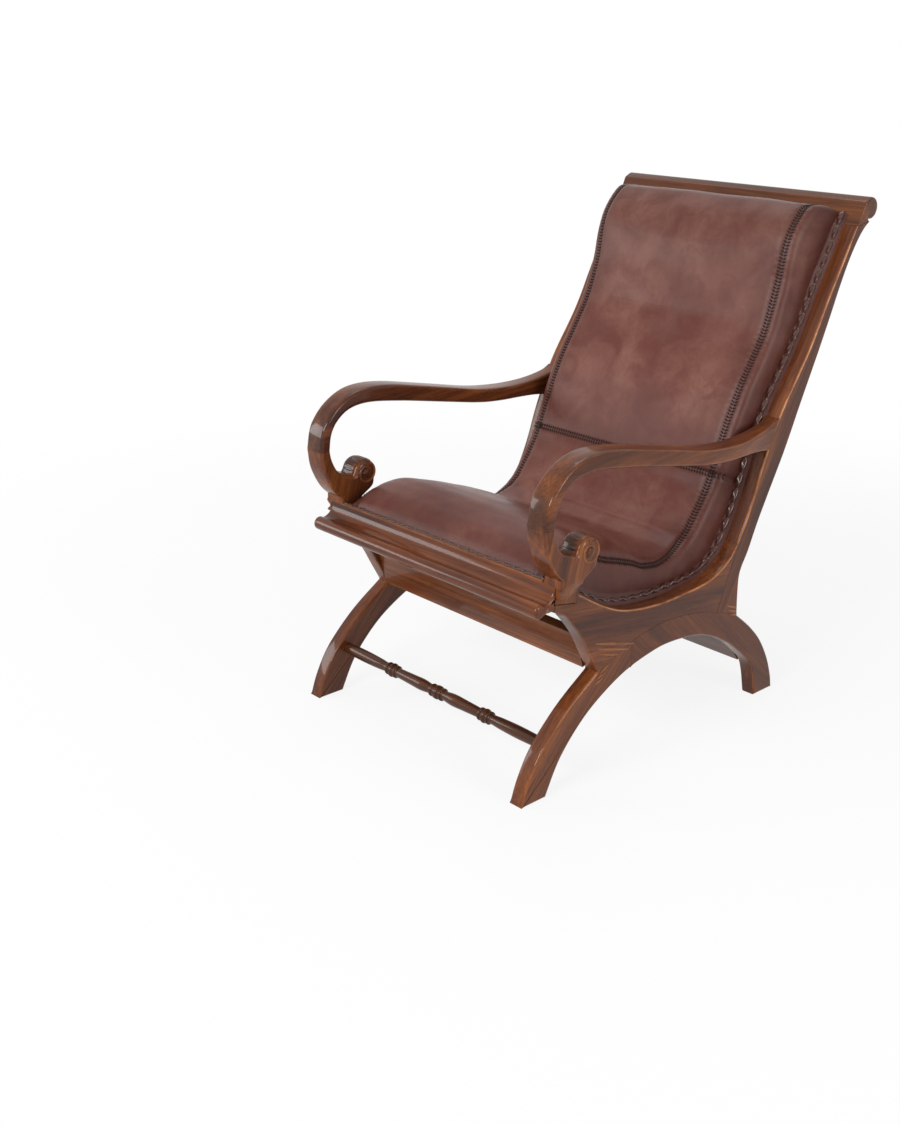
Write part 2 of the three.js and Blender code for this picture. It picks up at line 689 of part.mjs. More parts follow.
// A smooth curve through the shares above
function padHeight(along) {
  const last = padHeightShares.length - 1;
  const next = Math.max(1, padHeightShares.findIndex(([share]) => share >= along));
  const slope = (i) => {
    const [s0, h0] = padHeightShares[Math.max(0, i - 1)];
    const [s1, h1] = padHeightShares[Math.min(last, i + 1)];
    return (h1 - h0) / (s1 - s0);
  };
  const [from, low] = padHeightShares[next - 1];
  const [to, high] = padHeightShares[next];
  const t = (along - from) / (to - from);
  const blend = t * t * (3 - 2 * t);
  const bend = (to - from) * t * (1 - t) * (slope(next - 1) * (1 - t) - slope(next) * t);
  return padDepth * (low + (high - low) * blend + bend);
}

// A point of the padded surface: across from -1 to 1, along as a share of the seat line
function padPoint(across, share) {
  const along = (share - padStartShare) / (padEndShare - padStartShare);
  const nearEnd = Math.max(0, Math.min(along, 1 - along)) * padLength;
  const end = nearEnd >= endRound ? 1 : Math.sqrt(1 - (1 - nearEnd / endRound) ** 2);
  const side = Math.sqrt(Math.max(0, 1 - Math.abs(across) ** sideHardness));
  const crown = crownRise * Math.cos((Math.PI / 2) * across) * Math.sin(Math.PI * Math.min(1, along * 2.6));
  const full = padHeight(along) + Math.max(0, crown);
  const height = full * (edgeShare + (1 - edgeShare) * side * end);
  const spot = beside(share, height);
  return new THREE.Vector3(across * padHalfWidth, spot.x, spot.y);
}

// A closed solid between two grids of points, with walls round its edge
function slab(top, bottom) {
  const rows = top.length;
  const columns = top[0].length;
  const spots = [...top.flat(), ...bottom.flat()];
  const positions = new Float32Array(spots.flatMap((p) => [p.x, p.y, p.z]));
  const index = [];
  const id = (layer, i, j) => (layer * rows + i) * columns + j;
  const quad = (a, b, c, d) => index.push(a, b, c, a, c, d);
  for (let i = 0; i + 1 < rows; i += 1) {
    for (let j = 0; j + 1 < columns; j += 1) {
      if (top[i][j].x + top[i][j + 1].x > 0) {
        quad(id(0, i, j), id(0, i, j + 1), id(0, i + 1, j + 1), id(0, i + 1, j));
        quad(id(1, i, j), id(1, i + 1, j), id(1, i + 1, j + 1), id(1, i, j + 1));
      } else {
        quad(id(0, i, j + 1), id(0, i + 1, j + 1), id(0, i + 1, j), id(0, i, j));
        quad(id(1, i, j + 1), id(1, i, j), id(1, i + 1, j), id(1, i + 1, j + 1));
      }
    }
  }
  for (let i = 0; i + 1 < rows; i += 1) {
    quad(id(1, i, 0), id(0, i, 0), id(0, i + 1, 0), id(1, i + 1, 0));
    const last = columns - 1;
    quad(id(0, i, last), id(1, i, last), id(1, i + 1, last), id(0, i + 1, last));
  }
  for (let j = 0; j + 1 < columns; j += 1) {
    quad(id(0, 0, j), id(1, 0, j), id(1, 0, j + 1), id(0, 0, j + 1));
    quad(id(0, rows - 1, j + 1), id(1, rows - 1, j + 1), id(1, rows - 1, j), id(0, rows - 1, j));
  }
  const geometry = new THREE.BufferGeometry();
  geometry.setAttribute("position", new THREE.BufferAttribute(positions, 3));
  geometry.setIndex(index);
  geometry.computeVertexNormals();
  return geometry;
}

const halfGap = seamGap / 2;
const middleColumns = middleShares.map((share) => share * (seamReach - halfGap) / padHalfWidth);
const borderColumns = borderShares.map((share) =>
  (seamReach + halfGap + (padHalfWidth - seamReach - halfGap) * share) / padHalfWidth);
const otherBorderColumns = borderColumns.map((share) => -share).reverse();
const acrossColumns = [...otherBorderColumns, ...middleColumns, ...borderColumns];

// Rows of the pad: the shared stations, more of them where its ends round down, and both seam edges
const crossSeam = padStartShare + (padEndShare - padStartShare) * crossSeamShare;
const lowerRows = [
  ...[0, 0.08, 0.35].map((share) => padStartShare + (endRound * share) / lineLength),
  ...sharesBetween(padStartShare + endRound / lineLength, crossSeam - halfGap / lineLength),
];
const upperRows = [
  ...sharesBetween(crossSeam + halfGap / lineLength, padEndShare - endRound / lineLength),
  ...[0.35, 0.08, 0].map((share) => padEndShare - (endRound * share) / lineLength),
];

const padRows = [...lowerRows, ...upperRows];
const padGrid = padRows.map((share) => acrossColumns.map((across) => padPoint(across, share)));
const padNormals = padGrid.map((row, i) => row.map((_, j) => {
  const wider = row[Math.min(j + 1, row.length - 1)].clone().sub(row[Math.max(j - 1, 0)]);
  const nextRow = padGrid[Math.min(i + 1, padGrid.length - 1)];
  const further = nextRow[j].clone().sub(padGrid[Math.max(i - 1, 0)][j]);
  return wider.cross(further).normalize();
}));

function foamPad() {
  const bottom = padRows.map((share) => acrossColumns.map((across) => {
    const spot = beside(share, 0);
    return new THREE.Vector3(across * padHalfWidth, spot.x, spot.y);
  }));
  return slab(padGrid, bottom);
}

// A leather panel over the foam, between two of its rows and two of its columns
function leatherPanel(fromRow, toRow, fromColumn, toColumn) {
  const skin = (lift) => padGrid.slice(fromRow, toRow).map((row, i) =>
    row.slice(fromColumn, toColumn).map((spot, j) =>
      spot.clone().addScaledVector(padNormals[fromRow + i][fromColumn + j], lift)));
  return slab(skin(fit + leatherThickness), skin(fit));
}

// A strip of even section that follows the seat line between two X places
function strip(fromX, toX, fromOffset, toOffset, fromShare, toShare) {
  const side = (offset) => sharesBetween(fromShare, toShare).map((share) => beside(share, offset));
  return acrossX([...side(fromOffset), ...side(toOffset).reverse()], fromX, toX);
}

const strapBottom = -(fit + strapThickness);
const cleatTop = strapBottom - fit;
const liningTop = cleatTop - cleatDepth - fit;
const strapShares = [0.075, 0.17, 0.27, 0.365, 0.5, 0.6, 0.7, 0.8, 0.9];
const cleatStartShare = padStartShare + cleatDepth / lineLength;
const cleatEndShare = seatShareWhere((spot) => spot.x > stileTopReach - cleatDepth / 2);

function upholstery() {
  const outer = frameInner - fit;
  place("foam_pad", foamPad(), foam);
  const seam = lowerRows.length;
  const end = padRows.length;
  const middleStart = borderColumns.length;
  const middleEnd = middleStart + middleColumns.length;
  const edge = acrossColumns.length;
  place("seat_panel", leatherPanel(0, seam, middleStart, middleEnd), leather);
  place("back_panel", leatherPanel(seam, end, middleStart, middleEnd), leather);
  const lowerBorder = leatherPanel(0, seam, middleEnd, edge);
  const upperBorder = leatherPanel(seam, end, middleEnd, edge);
  place("lower_border_left", lowerBorder, leather);
  place("lower_border_right", mirrored(lowerBorder), leather);
  place("upper_border_left", upperBorder, leather);
  place("upper_border_right", mirrored(upperBorder), leather);
  strapShares.forEach((share, i) => {
    const half = strapWidth / 2 / lineLength;
    const strap = strip(-outer, outer, -fit, strapBottom, share - half, share + half);
    place(`webbing_strap_${i + 1}`, geometryOf(strap), webbing);
  });
  const cleatBottom = cleatTop - cleatDepth;
  const cleat = strip(outer - cleatWidth, outer, cleatTop, cleatBottom, cleatStartShare, cleatEndShare);
  placePair("nailing_cleat", cleat, darkWood);
  const braid = strip(outer - braidWidth, outer, 0, braidHeight, padStartShare, padEndShare);
  placePair("braid", braid, braidLeather);
  const liningBottom = liningTop - liningThickness;
  const sheet = strip(-outer, outer, liningTop, liningBottom, cleatStartShare, cleatEndShare);
  place("back_lining", geometryOf(sheet), lining);
  const braidBack = point(-frontRailBack - fit * 2, frontRailTop + fit);
  place("front_braid", geometryOf(acrossX([
    braidBack,
    point(braidBack.x, braidBack.y + braidHeight),
    point(braidBack.x - braidWidth * 0.7, braidBack.y + braidHeight),
    point(braidBack.x - braidWidth * 0.7, braidBack.y),
  ], -outer, outer)), braidLeather);
}

// Side frames
const frontLegs = legs.intersect(halfSpace(false, -spliceReach - fit / 2));
const rearLegs = legs.intersect(halfSpace(true, -spliceReach + fit / 2));
const frontLeg = frontLegs.subtract(frontBoard.mortise).subtract(stretcherSocket());
const rail = upperFrame.subtract(region(stileRegion(-fit / 2))).subtract(region(pegBlockOutline(fit)));
const stile = upperFrame.intersect(region(stileRegion(fit / 2)));
placePair("front_leg", bored(frontLeg, "front_leg_dowel"), wood);
placePair("rear_leg", bored(rearLegs.subtract(rearBoard.mortise), "rear_leg_dowel"), wood);
const railWithMortise = rail.subtract(frontBoard.mortise);
placePair("seat_rail", bored(railWithMortise, "front_leg_dowel", "front_rail_dowel"), wood);
placePair("back_stile", bored(stile, "rear_leg_dowel", "crest_dowel", "arm_dowel"), wood);
placePair("armrest", armrest(), wood);
placePair("arm_scroll", armScroll(), wood);
for (const name of Object.keys(pins)) placePair(name, pin(name), darkWood);

// Pieces across the chair
place("front_rail", geometryOf(frontRail()), wood);
place("crest_rail", geometryOf(crestRail()), wood);
place("front_board", geometryOf(frontBoard.board), wood);
place("rear_board", geometryOf(rearBoard.board), wood);
place("turned_stretcher", geometryOf(turnedStretcher()), wood);
upholstery();

// The origin goes under the middle of the whole chair
const reach = new THREE.Box3().setFromObject(chair);
chair.position.y = -(reach.min.y + reach.max.y) / 2;
chair.updateMatrixWorld(true);

export default chair;
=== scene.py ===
"""Planters chair: the looks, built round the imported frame.

Lengths are millimetres in this script's functions, with depth measured from the middle of the feet, and
piece() turns them into metres in the frame. The left side of the sitter is +X.
"""

import math

import bmesh
import bpy
import numpy as np
from mathutils import Matrix, Vector, noise


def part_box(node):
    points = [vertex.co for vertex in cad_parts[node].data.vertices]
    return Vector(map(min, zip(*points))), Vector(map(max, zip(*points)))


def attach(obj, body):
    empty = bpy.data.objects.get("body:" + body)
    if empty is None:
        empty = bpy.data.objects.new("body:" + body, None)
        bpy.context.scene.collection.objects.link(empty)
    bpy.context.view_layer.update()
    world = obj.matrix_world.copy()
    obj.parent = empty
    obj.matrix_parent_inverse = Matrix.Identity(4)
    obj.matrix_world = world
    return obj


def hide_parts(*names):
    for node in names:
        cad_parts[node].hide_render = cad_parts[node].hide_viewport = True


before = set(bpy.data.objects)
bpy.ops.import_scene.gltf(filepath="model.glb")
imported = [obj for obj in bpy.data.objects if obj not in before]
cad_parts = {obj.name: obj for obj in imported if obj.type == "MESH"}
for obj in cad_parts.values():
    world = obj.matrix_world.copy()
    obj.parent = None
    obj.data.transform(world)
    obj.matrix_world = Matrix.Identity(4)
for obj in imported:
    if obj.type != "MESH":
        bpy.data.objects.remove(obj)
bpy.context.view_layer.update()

MM = 0.001

# The same named sizes as the part's source
FRAME_HALF = 310
FRAME_INNER = 278
ARM_OUTER = 327
ARM_SWEEP_START = 90
STILE_TOP = (514, 950)
RAIL_NOSE = (-312, 407)
DIP = (10, 300)
CREST_FRONT = (528.07, 972.05)
VOLUTE = (-247, 463)
VOLUTE_RADIUS = 28
FRONT_RAIL_NOSE = -360
FRONT_RAIL_BACK = -303.7
FRONT_RAIL_TOP = 413
STRETCHER = (-300, 92)
STRETCHER_RING = 14
STRETCHER_NECK = 7.5
STRETCHER_PIN = 8
STRETCHER_PIN_LENGTH = 20
PAD_HALF = 264
SEAM_X = 234
# Shares of the seat line's length, and how far out the side seams run there
SEAM_SPREAD = [(0, 254), (0.25, 254), (0.29, 251), (0.32, 246), (0.345, 240), (0.375, 235), (0.42, SEAM_X),
               (1, SEAM_X)]
PAD_START_DEPTH = -300.7
PAD_END = 0.995
CROSS_SEAM = 0.545
LINING_DROP = 18.2

depth_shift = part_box("front_rail")[0].y / MM - FRONT_RAIL_NOSE


# Vectors and curves

TINY = 1e-9


def norm(vectors):
    """The lengths of vectors."""
    return np.linalg.norm(vectors, axis=-1)


def unit(vectors):
    """Vectors brought to length 1."""
    return vectors / np.maximum(norm(vectors), TINY)[..., None]


def dot(a, b):
    """The dot products of vectors."""
    return np.sum(a * b, axis=-1)


def to_left(vectors):
    """Vectors of depth and height, turned a quarter to the left."""
    return np.stack([-vectors[..., 1], vectors[..., 0]], axis=-1)


def cross(a, b):
    """The cross product of vectors of depth and height."""
    return a[..., 0] * b[..., 1] - a[..., 1] * b[..., 0]


def at_x(x, spots):
    """Points from an X, or one for each point, and depths and heights."""
    return np.concatenate([np.broadcast_to(x, spots.shape[:-1])[..., None], spots], axis=-1)


def rays(turn):
    """Unit vectors of depth and height at angles in radians."""
    return np.stack([np.cos(turn), np.sin(turn)], axis=-1)


def circle(count):
    """Unit vectors evenly spaced round a circle."""
    return rays(np.arange(count) / count * 2 * math.pi)


def bell(distance, width):
    """1 at no distance, falling smoothly to 0 over a few widths."""
    return np.exp(-(distance / width) ** 2)


def catmull(points, steps):
    """A smooth curve through points, with a number of steps between each two."""
    points = np.asarray(points, float)
    last = len(points) - 1
    out = []
    for i in range(last):
        p0, p1, p2, p3 = (points[min(max(i + k, 0), last)] for k in (-1, 0, 1, 2))
        for t in np.arange(steps) / steps:
            out.append(0.5 * (2 * p1 + (p2 - p0) * t + (2 * p0 - 5 * p1 + 4 * p2 - p3) * t * t
                              + (3 * p1 - p0 - 3 * p2 + p3) * t ** 3))
    return np.array(out + [points[-1]])


def lengths_along(points):
    """The way along a polyline to each of its points."""
    return np.concatenate([[0], np.cumsum(norm(np.diff(points, axis=0)))])


def spots_at(at, along, points):
    """Points of a polyline, at ways along it."""
    return np.stack([np.interp(at, along, column) for column in points.T], axis=-1)


def resample(points, spacing):
    """Points an even distance apart along a polyline, with its ends kept."""
    along = lengths_along(points)
    count = max(2, int(round(along[-1] / spacing)) + 1)
    return spots_at(np.linspace(0, along[-1], count), along, points)


def between(start, end, shares):
    """Points at shares of the way, in depth and in height, from one point to another."""
    start, end = np.array(start, float), np.array(end, float)
    return [start + (end - start) * np.array(share) for share in shares]


SEAT_SHARES = [(0, 0), (0.17, 0.21), (0.366, 0.56), (0.54, 0.81), (0.717, 0.935), (0.9, 0.993)]
BACK_SHARES = [(0, 0), (0.208, 0.008), (0.313, 0.035), (0.388, 0.0874), (0.463, 0.2), (0.523, 0.33),
               (0.614, 0.483), (0.754, 0.644), (0.857, 0.798), (0.945, 0.92), (1, 1)]
LINE_STEPS = 160
seat_line = catmull(between(RAIL_NOSE, DIP, SEAT_SHARES) + between(DIP, STILE_TOP, BACK_SHARES)
                    + [np.array(CREST_FRONT)], LINE_STEPS)
seat_along = lengths_along(seat_line)
SEAT_LENGTH = seat_along[-1]


def beside(share, offset, reach=6):
    """Points beside the seat line; a positive offset is on the sitter's side."""
    at = np.clip(share, 0, 1) * SEAT_LENGTH
    spot, ahead, behind = (spots_at(at + step, seat_along, seat_line) for step in (0, reach, -reach))
    return spot + to_left(unit(ahead - behind)) * np.broadcast_to(offset, at.shape)[..., None]


front_part = slice(0, 5 * LINE_STEPS)
PAD_START = float(np.interp(PAD_START_DEPTH, seat_line[front_part, 0], seat_along[front_part])) / SEAT_LENGTH


# Materials


class Shader:
    """A material or world whose nodes are wired in few words."""

    def __init__(self, name, library=bpy.data.materials, output="ShaderNodeOutputMaterial"):
        self.owner = library.new(name)
        self.owner.use_nodes = True
        self.tree = self.owner.node_tree
        self.tree.nodes.clear()
        self.output = self.add(output)

    def add(self, kind, inputs=None, **settings):
        node = self.tree.nodes.new(kind)
        for key, value in settings.items():
            setattr(node, key, value)
        for key, value in (inputs or {}).items():
            if isinstance(value, bpy.types.NodeSocket):
                self.tree.links.new(value, node.inputs[key])
            else:
                node.inputs[key].default_value = value
        return node

    def coords(self):
        return self.add("ShaderNodeTexCoord").outputs["Object"]

    def moved(self, vector, scale=(1, 1, 1), turn=(0, 0, 0), move=(0, 0, 0)):
        inputs = {"Vector": vector, "Scale": scale, "Rotation": turn, "Location": move}
        return self.add("ShaderNodeMapping", inputs).outputs[0]

    def place(self, scale, move=(0, 0, 0)):
        """Coordinates scaled alike on all axes."""
        return self.moved(self.coords(), (scale,) * 3, move=move)

    def turned(self, turn, scale, move):
        """Coordinates turned first, then stretched."""
        return self.moved(self.moved(self.coords(), turn=turn), scale, move=move)

    def noise(self, vector, detail=4.0, roughness=0.5, distortion=0.0):
        inputs = {"Vector": vector, "Scale": 1.0, "Detail": detail, "Roughness": roughness,
                  "Distortion": distortion}
        return self.add("ShaderNodeTexNoise", inputs).outputs["Fac"]

    def ramp(self, factor, stops):
        node = self.add("ShaderNodeValToRGB", {"Fac": factor})
        elements = node.color_ramp.elements
        while len(elements) < len(stops):
            elements.new(0.5)
        for element, (position, color) in zip(elements, stops):
            element.position = position
            element.color = (*color, 1) if isinstance(color, tuple) else (color, color, color, 1)
        return node.outputs["Color"]

    def mix(self, factor, a, b):
        a, b = ((*color, 1) if isinstance(color, tuple) else color for color in (a, b))
        return self.add("ShaderNodeMix", {0: factor, 6: a, 7: b}, data_type="RGBA").outputs[2]

    def math(self, operation, a, b):
        return self.add("ShaderNodeMath", {0: a, 1: b}, operation=operation).outputs[0]

    def mapped(self, value, source, target, **settings):
        """A value carried from one range to another."""
        inputs = dict(enumerate((value, *source, *target)))
        return self.add("ShaderNodeMapRange", inputs, **settings).outputs[0]

    def attribute(self, name):
        return self.add("ShaderNodeAttribute", attribute_name=name).outputs["Fac"]

    def bump(self, height, strength, distance, normal=None):
        inputs = {"Height": height, "Strength": strength, "Distance": distance}
        if normal is not None:
            inputs["Normal"] = normal
        return self.add("ShaderNodeBump", inputs).outputs[0]

    def background_seen(self):
        """1 for the camera's rays and for those of reflections and glass."""
        path = self.add("ShaderNodeLightPath").outputs
        mirrored = self.math("MAXIMUM", path["Is Glossy Ray"], path["Is Transmission Ray"])
        return self.math("MAXIMUM", path["Is Camera Ray"], mirrored)

    def show(self, surface):
        self.tree.links.new(surface, self.output.inputs["Surface"])
        return self.owner

    def finish(self, inputs):
        return self.show(self.add("ShaderNodeBsdfPrincipled", inputs).outputs[0])


# Scales along and across the grain, detail, roughness and distortion: streaks, fibres, bands and pores
GRAIN = ((1.5, 26, 7, 0.62, 0.5), (9, 210, 5, 0.65), (0.8, 7, 3, 0.5, 0.9), (45, 900, 2))
WOOD_DARK = (0.022, 0.006, 0.0038)
WOOD_MIDDLE = (0.128, 0.034, 0.0105)
WOOD_ORANGE = (0.25, 0.075, 0.0185)
WOOD_BRIGHT = (0.355, 0.125, 0.034)
WOOD_WORN_HIGHLIGHT = (0.6, 0.25, 0.1)
WOOD_PORE = (0.012, 0.004, 0.003)
WOOD_STAIN_AND_SHADE = (0.009, 0.006, 0.004)
END_STAIN = 0.45
ARM_GRAIN = 4


def wood(name, turn, seed, glow):
    """Lacquered hardwood with its grain along the X axis once turned.

    The glow is the share of its broad bands. A tone above 0 is worn wood, painted lighter also as a
    highlight; one below 0 is darker, as stain and as painted shade.
    """
    s = Shader(name)
    move = (seed * 3.1, seed * 1.7, seed * 2.3)
    streaks, fibres, bands, pores = (s.noise(s.turned(turn, (along, across, across), move), *rest)
                                     for along, across, *rest in GRAIN)
    base = s.ramp(streaks, [(0.3, WOOD_DARK), (0.47, WOOD_MIDDLE), (0.62, WOOD_ORANGE), (0.8, WOOD_BRIGHT)])
    tone = s.ramp(bands, [(0.32, WOOD_DARK), (0.5, WOOD_MIDDLE), (0.68, WOOD_ORANGE)])
    color = s.mix(glow, base, tone)
    color = s.mix(s.ramp(fibres, [(0.3, 0.6), (0.62, 0.0)]), color, WOOD_DARK)
    color = s.mix(s.ramp(pores, [(0.27, 0.75), (0.37, 0.0)]), color, WOOD_PORE)
    tone = s.attribute("tone")
    # The tone lightens for wear and painted highlights, and darkens for stain and painted shade
    worn_and_highlight, stain_and_shade = (s.ramp(s.math("MULTIPLY", tone, sign), [(0.0, 0.0), (1.0, 1.0)]) for sign in (1.0, -1.0))
    patches = s.ramp(s.noise(s.place(22, move=move), detail=3), [(0.36, 0.25), (0.6, 1.0)])
    color = s.mix(s.math("MULTIPLY", worn_and_highlight, patches), color, WOOD_WORN_HIGHLIGHT)
    color = s.mix(stain_and_shade, color, WOOD_STAIN_AND_SHADE)
    height = s.math("ADD", s.math("MULTIPLY", fibres, 0.6), s.math("MULTIPLY", pores, 0.5))
    return s.finish({
        "Base Color": color,
        "Roughness": s.mapped(fibres, (0.3, 0.7), (0.3, 0.42)),
        "Specular IOR Level": 0.1,
        "Coat Weight": 0.33,
        "Coat Roughness": 0.07,
        "Normal": s.bump(height, 0.25, 0.0004),
    })


def leather_finish():
    """Old red-brown leather, clouded and stained, and darker where it is burnished and where shade is painted
    on.
    """
    s = Shader("aged_leather")
    clouds = s.noise(s.place(5), detail=6, roughness=0.55, distortion=0.4)
    stains = s.noise(s.place(17, move=(3, 1, 7)), detail=5, roughness=0.6, distortion=0.6)
    speckle = s.noise(s.place(130), detail=3)
    color = s.ramp(clouds, [(0.3, (0.085, 0.026, 0.019)), (0.5, (0.135, 0.047, 0.034)),
                            (0.68, (0.195, 0.082, 0.06))])
    color = s.mix(s.ramp(stains, [(0.36, 0.6), (0.58, 0.0)]), color, (0.095, 0.02, 0.014))
    color = s.mix(s.ramp(speckle, [(0.38, 0.12), (0.56, 0.0)]), color, (0.07, 0.02, 0.014))
    # Darker where burnished, and where shade is painted on
    color = s.mix(s.attribute("burnish_and_shade"), color, (0.035, 0.009, 0.006))
    pebbles = s.add("ShaderNodeTexVoronoi", {"Vector": s.place(620), "Randomness": 1.0},
                    feature="DISTANCE_TO_EDGE").outputs["Distance"]
    creases = s.ramp(pebbles, [(0.0, 0.0), (0.22, 1.0)])
    wrinkles = s.noise(s.place(75), detail=6, roughness=0.65, distortion=0.3)
    fine = s.bump(creases, 0.22, 0.00025)
    return s.finish({
        "Base Color": color,
        "Roughness": s.mapped(stains, (0.3, 0.7), (0.28, 0.42)),
        "Specular IOR Level": 0.17,
        "Coat Weight": 0.08,
        "Coat Roughness": 0.3,
        "Normal": s.bump(wrinkles, 0.3, 0.0007, fine),
    })


def plain_finish(name, dark, light, scale, roughness, depth, metallic=0.0, coat=0.0, shine=0.5):
    """Mottled finish for thread, cord and nails."""
    s = Shader(name)
    grain = s.noise(s.place(scale), detail=5, roughness=0.6)
    return s.finish({
        "Base Color": s.ramp(grain, [(0.33, dark), (0.67, light)]),
        "Roughness": roughness,
        "Metallic": metallic,
        "Specular IOR Level": shine,
        "Coat Weight": coat,
        "Normal": s.bump(grain, 0.4, depth),
    })


def woven_finish(name, dark, light, pitch, roughness):
    """Plain weave with its threads along X and across it."""
    s = Shader(name)
    waves = [s.add("ShaderNodeTexWave", {"Vector": s.moved(s.coords(), turn=turn), "Scale": pitch,
                                         "Distortion": 0.6, "Detail": 2.0, "Detail Scale": 3.0},
                   wave_type="BANDS", bands_direction="X").outputs["Fac"]
             for turn in ((0, 0, 0), (0, 0, math.pi / 2))]
    weave = s.math("MULTIPLY", waves[0], waves[1])
    fuzz = s.noise(s.place(60), detail=6)
    color = s.mix(fuzz, s.ramp(weave, [(0.05, dark), (0.6, light)]), dark)
    return s.finish({"Base Color": color, "Roughness": roughness, "Normal": s.bump(weave, 0.5, 0.0005)})


def side_wood(name, degrees, seed, glow):
    """Wood for a piece whose grain rises by degrees from the depth axis."""
    tilt = Matrix.Rotation(math.radians(-degrees), 3, "X")
    turn = Matrix.Rotation(-math.pi / 2, 3, "Z") @ tilt
    return wood(name, tuple(turn.to_euler("XYZ")), seed, glow)


FINISHES = {
    "cross": wood("wood_across", (0, 0, 0), 1.0, 0.35),
    "front_leg": side_wood("wood_front_leg", 48, 2.0, 0.6),
    "rear_leg": side_wood("wood_rear_leg", -42, 3.0, 0.55),
    "rail": side_wood("wood_rail", -8, 4.0, 0.5),
    "stile": side_wood("wood_stile", 62, 5.0, 0.4),
    "arm": side_wood("wood_arm", ARM_GRAIN, 6.0, 0.35),
    "scroll": side_wood("wood_scroll", 75, 7.0, 0.3),
    "hidden": wood("wood_hidden", (0, 0, 0), 8.0, 0.4),
    "leather": leather_finish(),
    "thread": plain_finish("waxed_thread", (0.007, 0.0035, 0.003), (0.022, 0.01, 0.008), 400, 0.7,
                           0.0002, shine=0.2),
    "cord": plain_finish("braid_leather", (0.03, 0.011, 0.008), (0.1, 0.038, 0.027), 210, 0.26,
                         0.0003, coat=0.25, shine=0.3),
    "nail": plain_finish("bronze_nail", (0.05, 0.024, 0.016), (0.16, 0.085, 0.058), 300, 0.3,
                         0.0001, metallic=0.7),
    "webbing": woven_finish("jute_webbing", (0.12, 0.08, 0.045), (0.42, 0.31, 0.19), 260, 0.9),
    "lining": woven_finish("black_lining", (0.008, 0.006, 0.005), (0.05, 0.038, 0.032), 260, 0.8),
}


# Pieces


def placed(name, data):
    """A new object in the scene for a mesh, lamp or camera."""
    made = bpy.data.objects.new(name, data)
    bpy.context.scene.collection.objects.link(made)
    return made


def mesh_of(name, points, faces):
    """A mesh in the frame from points in millimetres."""
    mesh = bpy.data.meshes.new(name)
    mesh.from_pydata((points + (0, depth_shift, 0)) * MM, [], faces)
    return mesh


def piece(name, shells, finish, replaced=(), sharp=38, attribute="tone"):
    """One closed piece from one or more shells, each of points, faces and a value for each point."""
    points, faces, values, count = [], [], [], 0
    for shell_points, shell_faces, *rest in shells:
        points.append(shell_points)
        faces.extend(tuple(i + count for i in face) for face in shell_faces)
        values.append(np.broadcast_to(np.float32(rest[0] if rest else 0), len(shell_points)))
        count += len(shell_points)
    mesh = mesh_of(name, np.concatenate(points), faces)
    layer = mesh.attributes.new(attribute, "FLOAT", "POINT")
    layer.data.foreach_set("value", np.concatenate(values))
    grid = bmesh.new()
    grid.from_mesh(mesh)
    bmesh.ops.remove_doubles(grid, verts=grid.verts, dist=2e-6)
    bmesh.ops.dissolve_degenerate(grid, edges=grid.edges, dist=2e-6)
    bmesh.ops.recalc_face_normals(grid, faces=grid.faces)
    bmesh.ops.triangulate(grid, faces=[face for face in grid.faces if len(face.verts) > 4])
    grid.to_mesh(mesh)
    grid.free()
    mesh.shade_smooth()
    mesh.set_sharp_from_angle(angle=math.radians(sharp))
    mesh.materials.append(FINISHES[finish])
    made = placed(name, mesh)
    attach(made, "root")
    if replaced:
        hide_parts(*replaced)
    return made


def mirror(shells):
    """The shells on the other side of the chair."""
    return [(points * (-1, 1, 1), [face[::-1] for face in faces], *rest)
            for points, faces, *rest in shells]


def toned(shell, tone):
    """A shell with one tone all over: above 0 worn and painted bright as a highlight, below 0 darker as stain
    and as painted shade.
    """
    return (*shell[:2], tone)


def pair(name, shells, finish):
    """A left piece and its mirror image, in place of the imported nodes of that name."""
    for side, parts in (("left", shells), ("right", mirror(shells))):
        piece(f"{name}_{side}_visual", parts, finish, [f"{name}_{side}"])


def lofted(rings):
    """A shell through rings of equal count, capped at both ends."""
    count = len(rings[0])
    last = (len(rings) - 1) * count
    faces = [(low + i, low + (i + 1) % count, low + count + (i + 1) % count, low + count + i)
             for low in range(0, last, count) for i in range(count)]
    faces.append(tuple(range(count))[::-1])
    faces.append(tuple(range(last, last + count)))
    return np.concatenate(rings), faces


def tube(path, radii, sides, up, squash=1.0):
    """A closed tube along a path, with one radius or one for each point."""
    radii = np.broadcast_to(radii, len(path))
    tangents = unit(np.gradient(path, axis=0))
    side = unit(np.cross(tangents, np.broadcast_to(up, path.shape)))
    lift = np.cross(side, tangents)
    cosine, sine = circle(sides).T
    ring = cosine[:, None] * side[:, None] + squash * sine[:, None] * lift[:, None]
    return lofted(path[:, None] + ring * radii[:, None, None])


def rib(start, end, side, lift, bluntness, tip, steps):
    """A rounded rib from one point to another, thinner towards its tips."""
    share = np.linspace(0, 1, steps)
    swell = np.sin(math.pi * np.clip(share, tip, 1 - tip)) ** bluntness
    cosine, sine = circle(8).T
    ring = cosine[:, None] * side + sine[:, None] * lift
    return lofted((start + np.outer(share, end - start))[:, None] + ring * swell[:, None, None])


# Outlines of the sawn boards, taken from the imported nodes

# In metres: what counts as one point in a node, on the plane, and in the outline that it cuts
NODE_WELD, PLANE_WELD, OUTLINE_WELD = 1e-5, 1e-7, 5e-5


